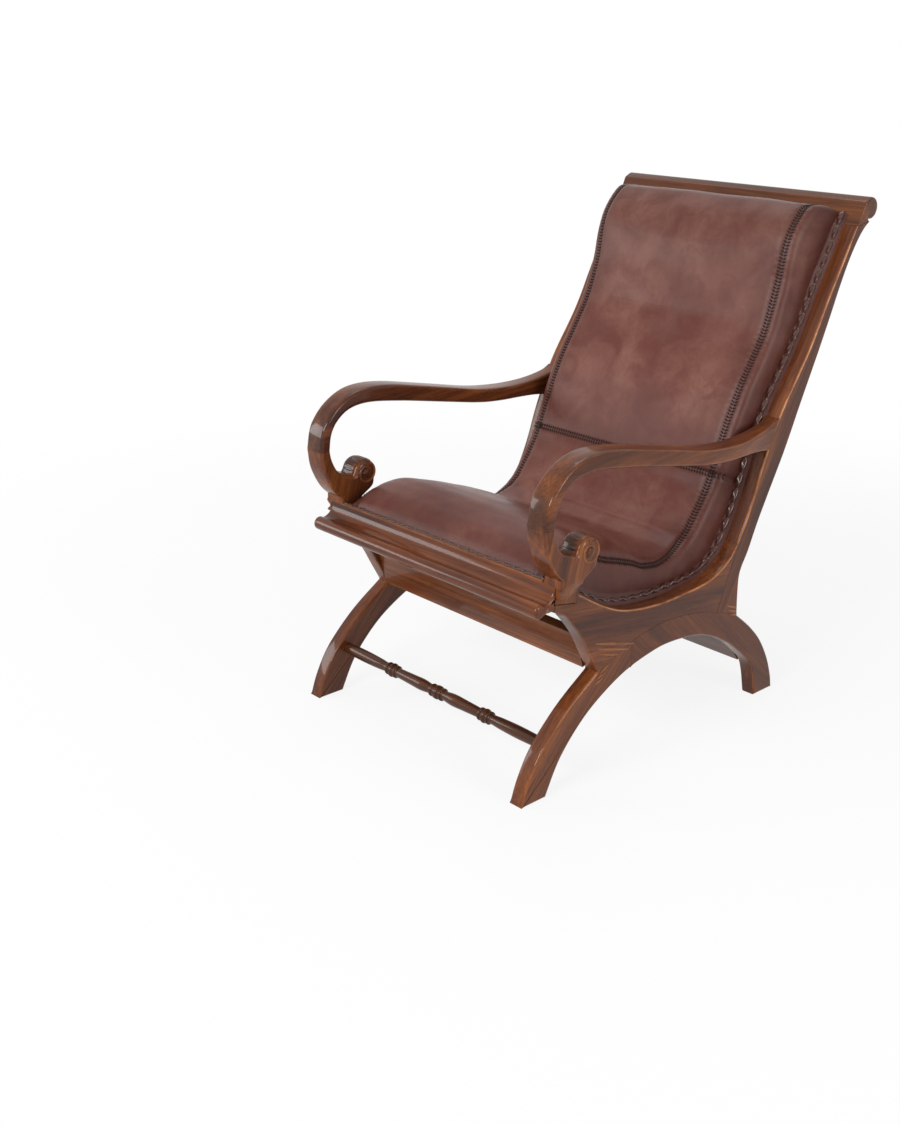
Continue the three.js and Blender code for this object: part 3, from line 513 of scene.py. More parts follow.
def section(node, x):
    """The outline in which a plane across X cuts a node, as points of depth and height."""
    cut = bmesh.new()
    cut.from_mesh(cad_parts[node].data)
    bmesh.ops.remove_doubles(cut, verts=cut.verts, dist=NODE_WELD)
    bmesh.ops.bisect_plane(cut, geom=cut.verts[:] + cut.edges[:] + cut.faces[:], dist=PLANE_WELD,
                           plane_co=(x * MM, 0, 0), plane_no=(1, 0, 0), clear_inner=True, clear_outer=True)
    bmesh.ops.remove_doubles(cut, verts=cut.verts, dist=OUTLINE_WELD)
    left = dict.fromkeys(cut.verts)
    loops = []
    while left:
        loop = [left.popitem()[0]]
        while ahead := [vert for edge in loop[-1].link_edges for vert in edge.verts if vert in left]:
            left.pop(ahead[0])
            loop.append(ahead[0])
        loops.append(np.array([(v.co.y / MM - depth_shift, v.co.z / MM) for v in loop]))
    cut.free()
    outline = max(loops, key=lambda loop: lengths_along(loop)[-1])
    return outline if np.sum(cross(outline, following(outline))) > 0 else outline[::-1]


def following(outline):
    """For each point of an outline, the next one round."""
    return np.roll(outline, -1, axis=0)


def middles(outline):
    """The middle of each edge, from its point to the next."""
    return (outline + following(outline)) / 2


def turns(outline):
    """How much the outline turns at each point, in degrees."""
    before = outline - np.roll(outline, 1, axis=0)
    after = following(outline) - outline
    return np.degrees(np.abs(np.arctan2(cross(before, after), dot(before, after))))


def cleaned(outline, close=0.8, straight=0.25):
    """The outline without the points that lie close together or on a straight line."""
    outline = outline[norm(outline - np.roll(outline, 1, axis=0)) > close]
    while True:
        flat = turns(outline) < straight
        if not flat.any():
            return outline
        outline = np.delete(outline, np.argmax(flat), axis=0)


def onward(spot, before, others, reach=1.5, straightest=0.9):
    """The point at which another outline goes nearly straight on from a corner, or the corner itself."""
    heading = unit(spot - before)
    best = spot
    for other in others:
        gaps = norm(other - spot)
        nearest = int(np.argmin(gaps))
        if gaps[nearest] > reach:
            continue
        for step in (-1, 1):
            ahead = other[(nearest + step) % len(other)] - other[nearest]
            straightness = ahead @ heading / norm(ahead)
            if straightness > straightest:
                straightest, best = straightness, spot + ahead
    return best


CURVE_STEPS = 12


def refined(outline, spacing, corner, others=()):
    """The outline with its facets smoothed, its corners kept and its points evenly spaced.

    Its curves run on smoothly into those of the other pieces' outlines.
    """
    outline = cleaned(outline)
    corners = np.flatnonzero(turns(outline) > corner)
    outline = np.roll(outline, -corners[0], axis=0)
    corners = np.append(corners - corners[0], len(outline))
    outline = np.vstack([outline, outline[:1]])
    parts = []
    for start, end in zip(corners[:-1], corners[1:]):
        dense = span = outline[start:end + 1]
        if len(span) > 2:
            ahead = onward(span[-1], span[-2], others)
            behind = onward(span[0], span[1], others)
            dense = catmull(np.vstack([behind, span, ahead]), CURVE_STEPS)[CURVE_STEPS:-CURVE_STEPS]
        parts.append(resample(dense, spacing)[:-1])
    return np.concatenate(parts)


# The least sine between two edges that still have a corner between them
PARALLEL = 0.35


def set_in(outline, distance):
    """The outline with each edge, to the next point, moved inwards by its own distance.

    Edges that would turn round are dropped one by one, the first to vanish first, and their points coincide.
    """
    count = len(outline)
    edge = following(outline) - outline
    length = norm(edge)
    normal = to_left(edge) / length[:, None]
    reach = dot(normal, outline) + distance
    alive = np.ones(count, bool)
    while True:
        live = np.flatnonzero(alive)
        group = np.searchsorted(live, np.arange(count)) % len(live)
        before, after = live[group - 1], live[group]
        shared = np.bincount(group, minlength=len(live))
        middle = np.stack([np.bincount(group, outline[:, k], len(live)) / np.maximum(shared, 1)
                           for k in range(2)], axis=1)[group]
        n1, n2, c1, c2 = normal[before], normal[after], reach[before], reach[after]
        det = cross(n1, n2)
        sharp = np.abs(det) > PARALLEL
        safe = np.where(sharp, det, 1)[:, None]
        crossing = np.stack([c1 * n2[:, 1] - c2 * n1[:, 1], n1[:, 0] * c2 - n2[:, 0] * c1], axis=1) / safe
        mean = unit(n1 + n2)
        off = (c1 - dot(n1, middle) + c2 - dot(n2, middle)) / 2
        soft = middle + mean * (off / np.maximum(dot(mean, n1), 0.5))[:, None]
        ring = np.where(sharp[:, None], crossing, soft)
        left = dot(following(ring) - ring, edge) / length ** 2
        worst = int(np.argmin(np.where(alive, left, 1)))
        if left[worst] > 0 or len(live) < 8:
            return ring
        alive[worst] = False


def thickness(outline):
    """How wide the outline is straight across from the middle of each edge."""
    edge = following(outline) - outline
    inward = to_left(unit(edge))
    slant = cross(inward[:, None], edge[None])
    safe = np.where(np.abs(slant) < TINY, TINY, slant)
    apart = outline[None] - middles(outline)[:, None]
    far = cross(apart, edge[None]) / safe
    spot = cross(apart, inward[:, None]) / safe
    return np.min(np.where((far > 0.01) & (spot >= 0) & (spot <= 1), far, 1e3), axis=1)


def nearness(outline, others):
    """The least distance from each point to the other outlines."""
    best = np.full(len(outline), np.inf)
    for other in others:
        step = following(other) - other
        apart = outline[:, None] - other
        share = np.clip(dot(apart, step) / np.maximum(dot(step, step), TINY), 0, 1)
        best = np.minimum(best, np.min(norm(apart - step * share[..., None]), axis=1))
    return best


def blurred(values, times=3):
    """Values round an outline, each evened out with its neighbours."""
    for _ in range(times):
        values = (np.roll(values, 1) + 2 * values + np.roll(values, -1)) / 4
    return values


def end_grain(outline, degrees):
    """For each point, how much of the grain's ends shows in the edge there, from 0 to 1."""
    along = unit(following(outline) - np.roll(outline, 1, axis=0))
    return np.clip((np.abs(cross(along, rays(math.radians(degrees)))) - 0.5) / 0.45, 0, 1)


# Radius of an edge on a joint, and the most of a board's width that the other roundings take
JOINT_EDGE = 0.5
ROUND_SHARE = 0.3
turn_steps = np.linspace(0, math.pi / 2, 6)
# How much a rounded arris is lightened, from the edge to the face: wear, and a painted highlight along it
ARRIS_TONES = (0.0, 0.1, 0.75, 1.0, 0.2, 0.0)


def board(outline, inner, outer, inner_round, outer_round, joined, wear_and_highlight, ends=0.0):
    """A board between two X planes, with a radius for each edge of its outline and a worn outer arris,
    painted lighter also as a highlight.

    Where the grain's ends show, the edge has taken more stain.
    """
    inner, outer, ends = (np.broadcast_to(value, len(outline)) for value in (inner, outer, ends))
    room = thickness(outline)
    inner_round, outer_round = (np.where(joined, JOINT_EDGE, np.minimum(radius, ROUND_SHARE * room))
                                for radius in (inner_round, outer_round))
    # Each face has one more ring, a little further in
    margin = np.where(joined, 0.4, np.minimum(1.5, 0.08 * room))
    open_point = ~(joined & np.roll(joined, 1))
    stain = -END_STAIN * ends

    def ring(face, radius, turn, way):
        drop = np.maximum(radius, np.roll(radius, 1)) * (1 - math.cos(turn))
        return at_x(face + way * drop, set_in(outline, radius * (1 - math.sin(turn))))

    rings = [at_x(inner, set_in(outline, inner_round + margin))]
    rings += [ring(inner, inner_round, turn, 1) for turn in turn_steps]
    rings += [ring(outer, outer_round, turn, -1) for turn in turn_steps[::-1]]
    rings.append(at_x(outer, set_in(outline, outer_round + margin)))
    tones = [0 * outer] + [stain * math.sin(turn) for turn in turn_steps]
    # The outer arris is lightened for wear and as a painted highlight
    tones += [tone * open_point * wear_and_highlight + stain * math.sin(turn)
              for turn, tone in zip(turn_steps[::-1], ARRIS_TONES)]
    tones.append(0 * outer)
    return (*lofted(rings), np.concatenate(tones))


# Where the outlines are cut, and the pieces that each of them is joined to
BOARD_SECTION = FRAME_HALF - 6
ARM_SECTION = FRAME_INNER + 30.5
SIDE_NODES = ("front_leg", "rear_leg", "seat_rail", "back_stile")
raw = {name: section(f"{name}_left", BOARD_SECTION) for name in SIDE_NODES}
raw |= {name: section(f"{name}_left", ARM_SECTION) for name in ("armrest", "arm_scroll")}
raw |= {name: section(name, BOARD_SECTION) for name in ("crest_rail", "front_rail")}
JOINED = {
    "front_leg": ("rear_leg", "seat_rail"),
    "rear_leg": ("front_leg", "seat_rail", "back_stile"),
    "seat_rail": ("front_leg", "rear_leg", "back_stile", "arm_scroll", "front_rail"),
    "back_stile": ("rear_leg", "seat_rail", "crest_rail"),
    "armrest": ("arm_scroll", "back_stile"),
    "arm_scroll": ("armrest", "seat_rail", "front_rail"),
}
# How near to another outline an edge on a joint lies
JOINT_REACH = 1.3


def on_joint(outline, others):
    """For each edge, whether it lies on a joint with one of the named pieces."""
    return nearness(middles(outline), [raw[other] for other in others]) < JOINT_REACH


outlines = {name: refined(raw[name], 4.0, 42 if name == "arm_scroll" else 30,
                          [cleaned(raw[other]) for other in others])
            for name, others in JOINED.items()}


# Side frames

LIP_ROUND = 5.0
FREE_ROUND = 2.8
LEG_ROUND = 4.5
# How much the arrises are lightened, as wear and as a painted highlight, along the lip and elsewhere
LIP_WEAR_AND_HIGHLIGHT = 0.6
SIDE_WEAR_AND_HIGHLIGHT = 0.22
# Where each rib starts and ends, its width and how proud it stands
CARVED_RIBS = {
    "seat_rail": [((-201, 271), (-92, 240), 6.5, 2.6), ((-195, 259), (-107, 233), 6.0, 2.6),
                  ((-190, 247), (-134, 230), 5.5, 2.4)],
    "front_leg": [((-186, 205), (-160, 219), 4.6, 2.2), ((-190, 197), (-166, 209), 4.6, 2.2),
                  ((-195, 188), (-175, 198), 4.2, 2.0)],
    "back_stile": [((221, 226), (190, 238), 5.0, 2.4), ((223, 217), (196, 226), 4.6, 2.2),
                   ((225, 209), (203, 215), 4.2, 2.0)],
}


def leaf(base, tip, width, rise):
    """A pointed rib that stands proud of the side face, from one point of the side view to another."""
    base, tip = np.array(base, float), np.array(tip, float)
    side = at_x(0.0, to_left(unit(tip - base))) * (width / 2)
    return rib(at_x(FRAME_HALF, base), at_x(FRAME_HALF, tip), side, np.array([rise, 0, 0]),
               bluntness=0.6, tip=0.04, steps=11)


for name, finish in zip(SIDE_NODES, ("front_leg", "rear_leg", "rail", "stile")):
    outline = outlines[name]
    joined = on_joint(outline, JOINED[name])
    from_lip = np.array([np.min(norm(seat_line - spot)) for spot in middles(outline)])
    on_lip = blurred((from_lip < 1.5) & ~joined)
    free_round = LEG_ROUND if name.endswith("leg") else FREE_ROUND
    outer_round = free_round + (LIP_ROUND - free_round) * on_lip
    shells = [board(outline, FRAME_INNER, FRAME_HALF, free_round, outer_round, joined,
                    wear_and_highlight=SIDE_WEAR_AND_HIGHLIGHT + LIP_WEAR_AND_HIGHLIGHT * on_lip)]
    # The carved ribs are painted lighter, as a highlight
    shells += [toned(leaf(*ribs), 0.3) for ribs in CARVED_RIBS.get(name, ())]
    pair(name, shells, finish)


# Armrests

ARM_ROUND = 7.5
# The outer face of a scroll or arm is rounded a little less than its inner face
OUTER_ROUND_SHARE = 0.8
SWEEP_DEPTH = STILE_TOP[0] - ARM_SWEEP_START
# Shares of the sweep from the arm's outer face to the stile's, and of its run
SWEEP = [(0, 0), (0.2, 0.2), (0.75, 0.4), (1, 0.55)]
arm_outline = outlines["armrest"]
sweep = catmull([(ARM_OUTER - (ARM_OUTER - FRAME_HALF) * inwards, ARM_SWEEP_START + SWEEP_DEPTH * along)
                 for inwards, along in SWEEP], 10)
arm_outer = np.interp(arm_outline[:, 0], sweep[:, 1], sweep[:, 0])
pair("armrest", [board(arm_outline, FRAME_INNER, arm_outer, ARM_ROUND, ARM_ROUND * OUTER_ROUND_SHARE,
                       on_joint(arm_outline, JOINED["armrest"]), wear_and_highlight=0.14,
                       ends=end_grain(arm_outline, ARM_GRAIN))], "arm")


# Rails and blocks carried across

# The share of a set-in that an edge on a joint takes, and the least turn, in degrees, of a corner that is
# worn and painted with a highlight
JOINT_SHARE = 0.12
WORN_HIGHLIGHT_TURN = 25


def across(outline, stations, against=(), wear_and_highlight=0.0):
    """An outline carried across the chair through stations, each an X and a set-in of its edges.

    Edges on a joint with the named pieces are hardly set in, and corners that stand out are worn and painted
    lighter as a highlight.
    """
    joined = on_joint(outline, against)
    ease = np.where(joined, JOINT_SHARE, 1.0)
    tone = wear_and_highlight * blurred((turns(outline) > WORN_HIGHLIGHT_TURN) & ~joined, 1)
    shell = lofted([at_x(x, set_in(outline, distance * ease)) for x, distance in stations])
    return (*shell, np.tile(tone, len(stations)))


# Arm scrolls

VOLUTE_ROUND = 12.0
scroll_outline = outlines["arm_scroll"]
scroll_middle = middles(scroll_outline)
in_recess = (scroll_outline[:, 1] < RAIL_NOSE[1] - 4) & (scroll_outline[:, 0] > RAIL_NOSE[0])
scroll_outer = blurred(np.where(in_recess, float(FRAME_HALF), ARM_OUTER), 2)
on_volute = blurred(norm(scroll_middle - VOLUTE) < VOLUTE_RADIUS + 3, 4)
scroll_round = ARM_ROUND + (VOLUTE_ROUND - ARM_ROUND) * on_volute
joined = on_joint(scroll_outline, JOINED["arm_scroll"]) | (scroll_middle[:, 1] < RAIL_NOSE[1])
shells = [board(scroll_outline, FRAME_INNER, scroll_outer, scroll_round, scroll_round * OUTER_ROUND_SHARE,
                joined, wear_and_highlight=0.12)]


def spiral(face_x, outwards, steps=70):
    """The bead that winds into the middle of the volute."""
    share = np.linspace(0, 1, steps)
    turn = math.pi * (0.35 - 2.9 * share)
    reach = (VOLUTE_RADIUS - 10) * (1 - share) ** 0.75 + 4.5
    path = at_x(face_x, VOLUTE + reach[:, None] * rays(turn))
    return tube(path, 2.6 * (1 - 0.35 * share), 8, up=(outwards, 0, 0), squash=0.8)


def button(face_x, outwards, radius=9.5, rise=5.5, sides=48):
    """The small flower in the middle of the volute: a dome of six petals."""
    petals = np.cos(6 * np.arange(sides) / sides * 2 * math.pi)
    rings = []
    for turn in np.linspace(0, math.pi / 2, 9):
        reach = radius * math.cos(turn * 0.985) * (1 + 0.14 * petals * math.cos(turn))
        spots = VOLUTE + reach[:, None] * circle(sides)
        rings.append(at_x(face_x + outwards * (rise * math.sin(turn) - 1), spots))
    return lofted(rings)


def reed(degrees):
    """A rounded reed that lies across the roll of the volute, parallel to X."""
    ray = rays(math.radians(degrees))
    start, end = (at_x(x, VOLUTE + ray * (VOLUTE_RADIUS - 0.8)) for x in (FRAME_INNER + 8, ARM_OUTER - 9))
    return rib(start, end, at_x(0, to_left(ray)) * 3.4, at_x(0, ray) * 1.9,
               bluntness=0.4, tip=0.03, steps=14)


for face_x, outwards in ((ARM_OUTER, 1), (FRAME_INNER, -1)):
    # The spiral bead is painted lighter, as a highlight
    shells.append(toned(spiral(face_x, outwards), 0.25))
    shells.append(toned(button(face_x, outwards), -0.35))
# The reeds on the roll are painted dark, as shade and dirt
shells += [toned(reed(degrees), -0.45) for degrees in range(56, 190, 18)]
# A wedge under the scroll fills what its block leaves of the recess in the side rail
RECESS = np.array([(-311.7, 376.4), (-257.3, 365.9), (-257.3, 371.0), (-311.7, 393.0)])
shells.append(across(RECESS, [(FRAME_INNER + 0.4, 1.2), (FRAME_INNER + 1.6, 0), (FRAME_HALF - 1.6, 0),
                              (FRAME_HALF - 0.4, 1.2)]))
pair("arm_scroll", shells, "scroll")


# Rails across the chair

RAIL_ROUND = 5.5
CREST_ROUND = 3.5


def rounded_end(half, radius):
    """Stations of a rounded arris, from the end face inwards."""
    return [(half, radius + 3)] + [(half - radius * (1 - math.cos(turn)), radius * (1 - math.sin(turn)))
                                   for turn in turn_steps]


def straight(*xs):
    """Stations with no set-in."""
    return [(x, 0) for x in xs]


end_part = across(refined(raw["front_rail"], spacing=2.0, corner=38),
                  straight(FRAME_INNER) + rounded_end(FRAME_HALF, RAIL_ROUND)[::-1],
                  ("seat_rail", "arm_scroll"), wear_and_highlight=0.6)
rail = across(refined(section("front_rail", 250), spacing=2.0, corner=38),
              straight(FRAME_INNER, 140, 0, -140, -FRAME_INNER), wear_and_highlight=0.6)
piece("front_rail_visual", [rail, end_part, *mirror([end_part])], "cross", ["front_rail"])

# How far the photograph's front board stops below its solid's top edge, down the board's slope
BOARD_DROP = 13.0
BOARD_SLOPE = np.array([-0.26, 0.965])
BOARD_HALF = FRAME_INNER - 0.2
board_outline = section("front_board", 200)
upper_edge = board_outline[:, 1] > np.mean(board_outline[:, 1])
board_outline[upper_edge] -= BOARD_DROP * BOARD_SLOPE
front_board = across(refined(board_outline, spacing=4.0, corner=38),
                     straight(BOARD_HALF, 120, 0, -120, -BOARD_HALF), wear_and_highlight=0.4)
piece("front_board_visual", [front_board], "cross", ["front_board"])

half_crest = rounded_end(FRAME_HALF, CREST_ROUND) + straight(150, 1)
crest = across(refined(raw["crest_rail"], spacing=2.5, corner=25),
               half_crest + [(-x, distance) for x, distance in half_crest[::-1]], ("back_stile",), wear_and_highlight=0.5)
piece("crest_rail_visual", [toned(crest, crest[2] - 0.28)], "cross", ["crest_rail"])


# Turned stretcher

# Shares of the half length, and of the way from the neck's radius to the rings'
TURNING = [
    (0, 1), (0.014, 0.95), (0.026, 0.45), (0.034, 0.45), (0.044, 0.8), (0.056, 0.8), (0.066, 0.3),
    (0.16, 0.68), (0.27, 0.55), (0.4, 0.36), (0.425, 0.3), (0.435, 0.8), (0.447, 0.8), (0.457, 0.42),
    (0.475, 1), (0.49, 1), (0.508, 0.42), (0.518, 0.8), (0.53, 0.8), (0.54, 0.3), (0.64, 0.55), (0.78, 0.72),
    (0.9, 0.66), (0.96, 0.55), (1, 0.5),
]


def turned_stretcher(sides=48):
    """The stretcher, turned about X, with a pin at each end."""
    half = FRAME_INNER - 0.3
    profile = catmull([(along * half, STRETCHER_NECK + (STRETCHER_RING - STRETCHER_NECK) * rise)
                       for along, rise in TURNING], 5)
    profile = np.vstack([profile, [(half, STRETCHER_PIN), (half + STRETCHER_PIN_LENGTH - 1, STRETCHER_PIN),
                                   (half + STRETCHER_PIN_LENGTH, STRETCHER_PIN - 1)]])
    profile = np.vstack([(profile[1:] * (-1, 1))[::-1], profile])
    return lofted([at_x(x, STRETCHER + radius * circle(sides)) for x, radius in profile])


piece("turned_stretcher_visual", [toned(turned_stretcher(), -0.55)], "cross",
      ["turned_stretcher"], sharp=50)


# Cushion

# Shares of the seat line's length, and how high the middle of the pad stands over it there
PAD_HEIGHTS = [
    (0.0085, 40), (0.031, 60), (0.047, 80), (0.067, 98), (0.107, 108), (0.15, 112), (0.182, 111), (0.22, 101),
    (0.247, 86), (0.275, 72), (0.302, 62), (0.335, 61), (0.369, 68), (0.41, 74), (0.453, 75), (0.492, 68),
    (0.53, 61), (0.58, 58), (0.65, 58), (0.72, 60), (0.778, 65), (0.826, 73), (0.857, 81), (0.88, 92),
    (0.899, 100), (0.925, 105), (0.95, 101), (0.975, 88), (0.995, 66),
]
END_ROUND = 27
CROWN_RISE = 7
SIDE_HARDNESS = 14
EDGE_SHARE = 0.14
NORMAL_REACH = 34
# About how far the flank of the pad runs down
FLANK = 85
PAD_SPAN = PAD_END - PAD_START
pad_length = PAD_SPAN * SEAT_LENGTH
height_curve = catmull(PAD_HEIGHTS, 20)


def pad_surface(across, along):
    """Points of the padded top: across from -1 to 1, along from 0 at the front to 1 at the head."""
    share = PAD_START + PAD_SPAN * along
    near_end = np.minimum(along, 1 - along) * pad_length
    end = np.where(near_end >= END_ROUND, 1, np.sqrt(np.clip(1 - (1 - near_end / END_ROUND) ** 2, 0, 1)))
    side = np.sqrt(np.clip(1 - np.abs(across) ** SIDE_HARDNESS, 0, 1))
    crown = CROWN_RISE * np.cos(math.pi / 2 * across) * np.sin(math.pi * np.minimum(1, along * 2.6))
    full = np.interp(share, height_curve[:, 0], height_curve[:, 1]) + np.maximum(0, crown)
    height = full * (EDGE_SHARE + (1 - EDGE_SHARE) * side * end)
    return at_x(across * PAD_HALF, beside(share, height, NORMAL_REACH))


def seam_x(along):
    """How far out the side seams run."""
    return np.interp(PAD_START + PAD_SPAN * along, *np.transpose(SEAM_SPREAD))


def closed_grid(top, bottom):
    """Points and quads of a closed form between two grids."""
    rows, columns = top.shape[:2]
    points = np.concatenate([top.reshape(-1, 3), bottom.reshape(-1, 3)])
    layer = rows * columns
    faces = []

    def wall(a, b):
        faces.append((a, b, layer + b, layer + a))

    for low in range(0, layer - columns, columns):
        high = low + columns
        for a, b in zip(range(low, high - 1), range(high, high + columns - 1)):
            faces.append((a, a + 1, b + 1, b))
            faces.append((layer + b, layer + b + 1, layer + a + 1, layer + a))
        wall(low, high)
        wall(high + columns - 1, high - 1)
    for a, b in zip(range(columns - 1), range(layer - columns, layer - 1)):
        wall(a + 1, a)
        wall(b, b + 1)
    return points, faces


def grid_shares(rows, border, middle):
    """Shares of the grid's rows and columns, closer together where the pad turns down to its edges."""
    along = np.linspace(0, 1, rows)
    along = 0.8 * along + 0.2 * (0.5 - 0.5 * np.cos(np.pi * along))
    seam = SEAM_X / PAD_HALF
    fine = np.linspace(seam, 1, 4000)
    profile = np.column_stack([fine * PAD_HALF, FLANK * np.sqrt(1 - fine ** SIDE_HARDNESS)])
    reach = lengths_along(profile)
    flank = np.interp(np.linspace(0, reach[-1], border + 1)[1:], reach, fine)
    return along, np.concatenate([-flank[::-1], np.linspace(-seam, seam, middle), flank])


SIM_ROWS, SIM_BORDER, SIM_MIDDLE = 121, 9, 30
FINE_ROWS, FINE_BORDER, FINE_MIDDLE = 440, 34, 110
SIM_COLUMNS = SIM_MIDDLE + 2 * SIM_BORDER
FINE_COLUMNS = FINE_MIDDLE + 2 * FINE_BORDER
SIM_FRAMES = 20
# The cap keeps the simulated swell, in millimetres, from crowding the seams
SIM_CAP = 7.0
CLOTH = {
    "quality": 6, "mass": 0.5, "use_pressure": True, "uniform_pressure_force": 4.0,
    "vertex_group_mass": "held", "tension_stiffness": 18, "compression_stiffness": 18,
    "shear_stiffness": 8, "bending_stiffness": 2.5,
}


def simulated_bulge():
    """How far pressure moves the leather between its seams, on the coarse grid, in millimetres."""
    along, across = grid_shares(SIM_ROWS, SIM_BORDER, SIM_MIDDLE)
    u, v = np.meshgrid(across, along)
    top = pad_surface(u, v)
    bottom = at_x(u * PAD_HALF, beside(PAD_START + PAD_SPAN * v, 0))
    points, faces = closed_grid(top, bottom)
    pad = placed("pad_simulation", mesh_of("pad_simulation", points, faces))
    held = pad.vertex_groups.new(name="held")
    layer = SIM_ROWS * SIM_COLUMNS
    seam = [int(np.argmin(np.abs(across - x / PAD_HALF))) for x in seam_x(along)]
    cross_row = int(np.argmin(np.abs(along - CROSS_SEAM)))
    edge = SIM_COLUMNS - 1
    rim = [i * SIM_COLUMNS + j for i in range(SIM_ROWS) for j in range(SIM_COLUMNS)
           if i in (0, SIM_ROWS - 1, cross_row) or j in (0, edge, seam[i], edge - seam[i])]
    held.add(rim + list(range(layer, 2 * layer)), 1.0, "REPLACE")
    cloth = pad.modifiers.new("cloth", "CLOTH")
    for key, value in CLOTH.items():
        setattr(cloth.settings, key, value)
    cloth.settings.effector_weights.gravity = 0
    cloth.collision_settings.use_self_collision = False
    cloth.point_cache.frame_start = 1
    cloth.point_cache.frame_end = SIM_FRAMES
    scene = bpy.context.scene
    for number in range(1, SIM_FRAMES + 1):
        scene.frame_set(number)
    result = pad.evaluated_get(bpy.context.evaluated_depsgraph_get()).to_mesh()
    moved = np.zeros(len(points) * 3)
    result.vertices.foreach_get("co", moved)
    moved = moved.reshape(-1, 3) / MM - (0, depth_shift, 0)
    scene.frame_set(1)
    bpy.data.objects.remove(pad)
    step = (moved - points)[:layer].reshape(SIM_ROWS, SIM_COLUMNS, 3)
    out = dot(step, grid_normals(top))
    print("largest swell of the simulated leather, mm:", round(float(out.max()), 2))
    return SIM_CAP * np.tanh(np.maximum(out, 0) / SIM_CAP), along, across


def blurred_grid(field, times):
    """A field with each value evened out with its neighbours."""
    for _ in range(times):
        padded = np.pad(field, 1, mode="edge")
        field = (padded[:-2, 1:-1] + padded[2:, 1:-1] + padded[1:-1, :-2] + padded[1:-1, 2:] + 4 * field) / 8
    return field


def grid_normals(grid):
    """The normals of a grid of points, on the sitter's side."""
    return unit(np.cross(np.gradient(grid, axis=1), np.gradient(grid, axis=0)))


def soft_noise(points, scale, seed):
    """A smooth random field, from about -1 to 1, whose patches measure about the scale."""
    flat = points.reshape(-1, 3)
    values = [noise.noise(Vector(p / scale) + Vector((seed, seed * 2.7, seed * 5.1))) for p in flat]
    return np.array(values).reshape(points.shape[:-1])


fine_along, fine_across = grid_shares(FINE_ROWS, FINE_BORDER, FINE_MIDDLE)
fine_u, fine_v = np.meshgrid(fine_across, fine_along)
pad_top = pad_surface(fine_u, fine_v)
bulge, sim_along, sim_across = simulated_bulge()
# Onto the finer grid, first along the rows
swell = spots_at(fine_across, sim_across, blurred_grid(bulge, 3).T).T
swell = spots_at(fine_along, sim_along, swell)
pad_top = pad_top + grid_normals(pad_top) * swell[..., None]

# Distances along the leather, from the seams and from the rim
row_arc = np.pad(np.cumsum(norm(np.diff(pad_top, axis=1)), axis=1), ((0, 0), (1, 0)))
seam_arcs = [np.array([[np.interp(side * seam_x(v) / PAD_HALF, fine_across, arc)]
                       for v, arc in zip(fine_along, row_arc)]) for side in (-1, 1)]
from_seam = np.maximum(seam_arcs[0] - row_arc, row_arc - seam_arcs[1])
seam_distance = np.abs(from_seam)
cross_distance = np.abs(fine_v - CROSS_SEAM) * pad_length
rim_distance = np.minimum(np.minimum(row_arc, row_arc[:, -1:] - row_arc),
                          np.minimum(fine_v, 1 - fine_v) * pad_length + 12)

# Seam valleys, the swell beside them, soft dents and the pull of the stitches
VALLEY = 2.6
VALLEY_WIDTH = 6.5
# Rise, distance outside the side seams, and width of the swells along them
BORDER_SWELL = (4.2, 17, 13)
PANEL_SWELL = (0.9, -15, 9)
# Rise, distance from the seam, and width of the puckers between the stitches
PUCKER = (0.3, 9, 6)
PUCKER_PITCH = 12.8
# Rise, distance from the rim, and width of the band of tucks
TUCKS = (1.4, 12, 14)
# Rise, scale and seed of the dents, broad and small
DENTS = ((2.6, 110, 3.0), (0.8, 42, 5.0))


def raised(distance, rise, middle, width):
    """A swell of a rise and width, its crest where the distance is the middle one."""
    return rise * bell(distance - middle, width)


pad_normal = grid_normals(pad_top)
pad_x, along_mm = pad_top[..., 0], fine_v * pad_length
valley = (bell(seam_distance, VALLEY_WIDTH) + bell(cross_distance, VALLEY_WIDTH)) * VALLEY
on_back = np.clip((SEAM_X + 14 - seam_x(fine_v)) / 14, 0, 1)
ridge = raised(from_seam, *BORDER_SWELL) * on_back + raised(from_seam, *PANEL_SWELL)
pucker = sum(np.cos(2 * math.pi * way / PUCKER_PITCH) * raised(distance, *PUCKER)
             for way, distance in ((along_mm, seam_distance), (pad_x, cross_distance)))
fade = np.clip(rim_distance / 40, 0, 1)
dents = sum(rise * soft_noise(pad_top, scale, seed) for rise, scale, seed in DENTS) * fade
tucks = soft_noise(np.stack([np.ones_like(pad_x), along_mm, pad_x * 0.15], axis=-1), 26, 9.0)
tucks = tucks * raised(rim_distance, *TUCKS)
pad_top = pad_top + pad_normal * (pucker + dents + tucks + ridge - valley)[..., None]
# The leather is darker by the seams and the rim, and towards the head, where the darkening is painted shade:
# how much, and over what width
burnish_and_shade = np.clip(sum(share * bell(distance, width) for distance, share, width in (
    (seam_distance, 0.25, 6), (cross_distance, 0.25, 6), (seam_distance, 0.2, 34), (cross_distance, 0.16, 30),
    (rim_distance, 0.35, 30), (along_mm.max() - along_mm, 0.32, 190))), 0, 0.8)

# The leather's edge is turned out under the braids
FLARE = 15.6
pad_bottom = at_x(fine_u * (PAD_HALF + FLARE), beside(PAD_START + (PAD_SPAN + 0.004) * fine_v, -0.8))
# The bottom shows only as the turned-out edge under the braids, which is painted dark as shade
tones = np.concatenate([burnish_and_shade.ravel(), np.full(burnish_and_shade.size, 0.6)])
cushion = piece("leather_cushion", [(*closed_grid(pad_top, pad_bottom), tones)], "leather",
                ["foam_pad", "seat_panel", "back_panel", "lower_border_left", "lower_border_right",
                 "upper_border_left", "upper_border_right"], sharp=80, attribute="burnish_and_shade")


# Laced seams


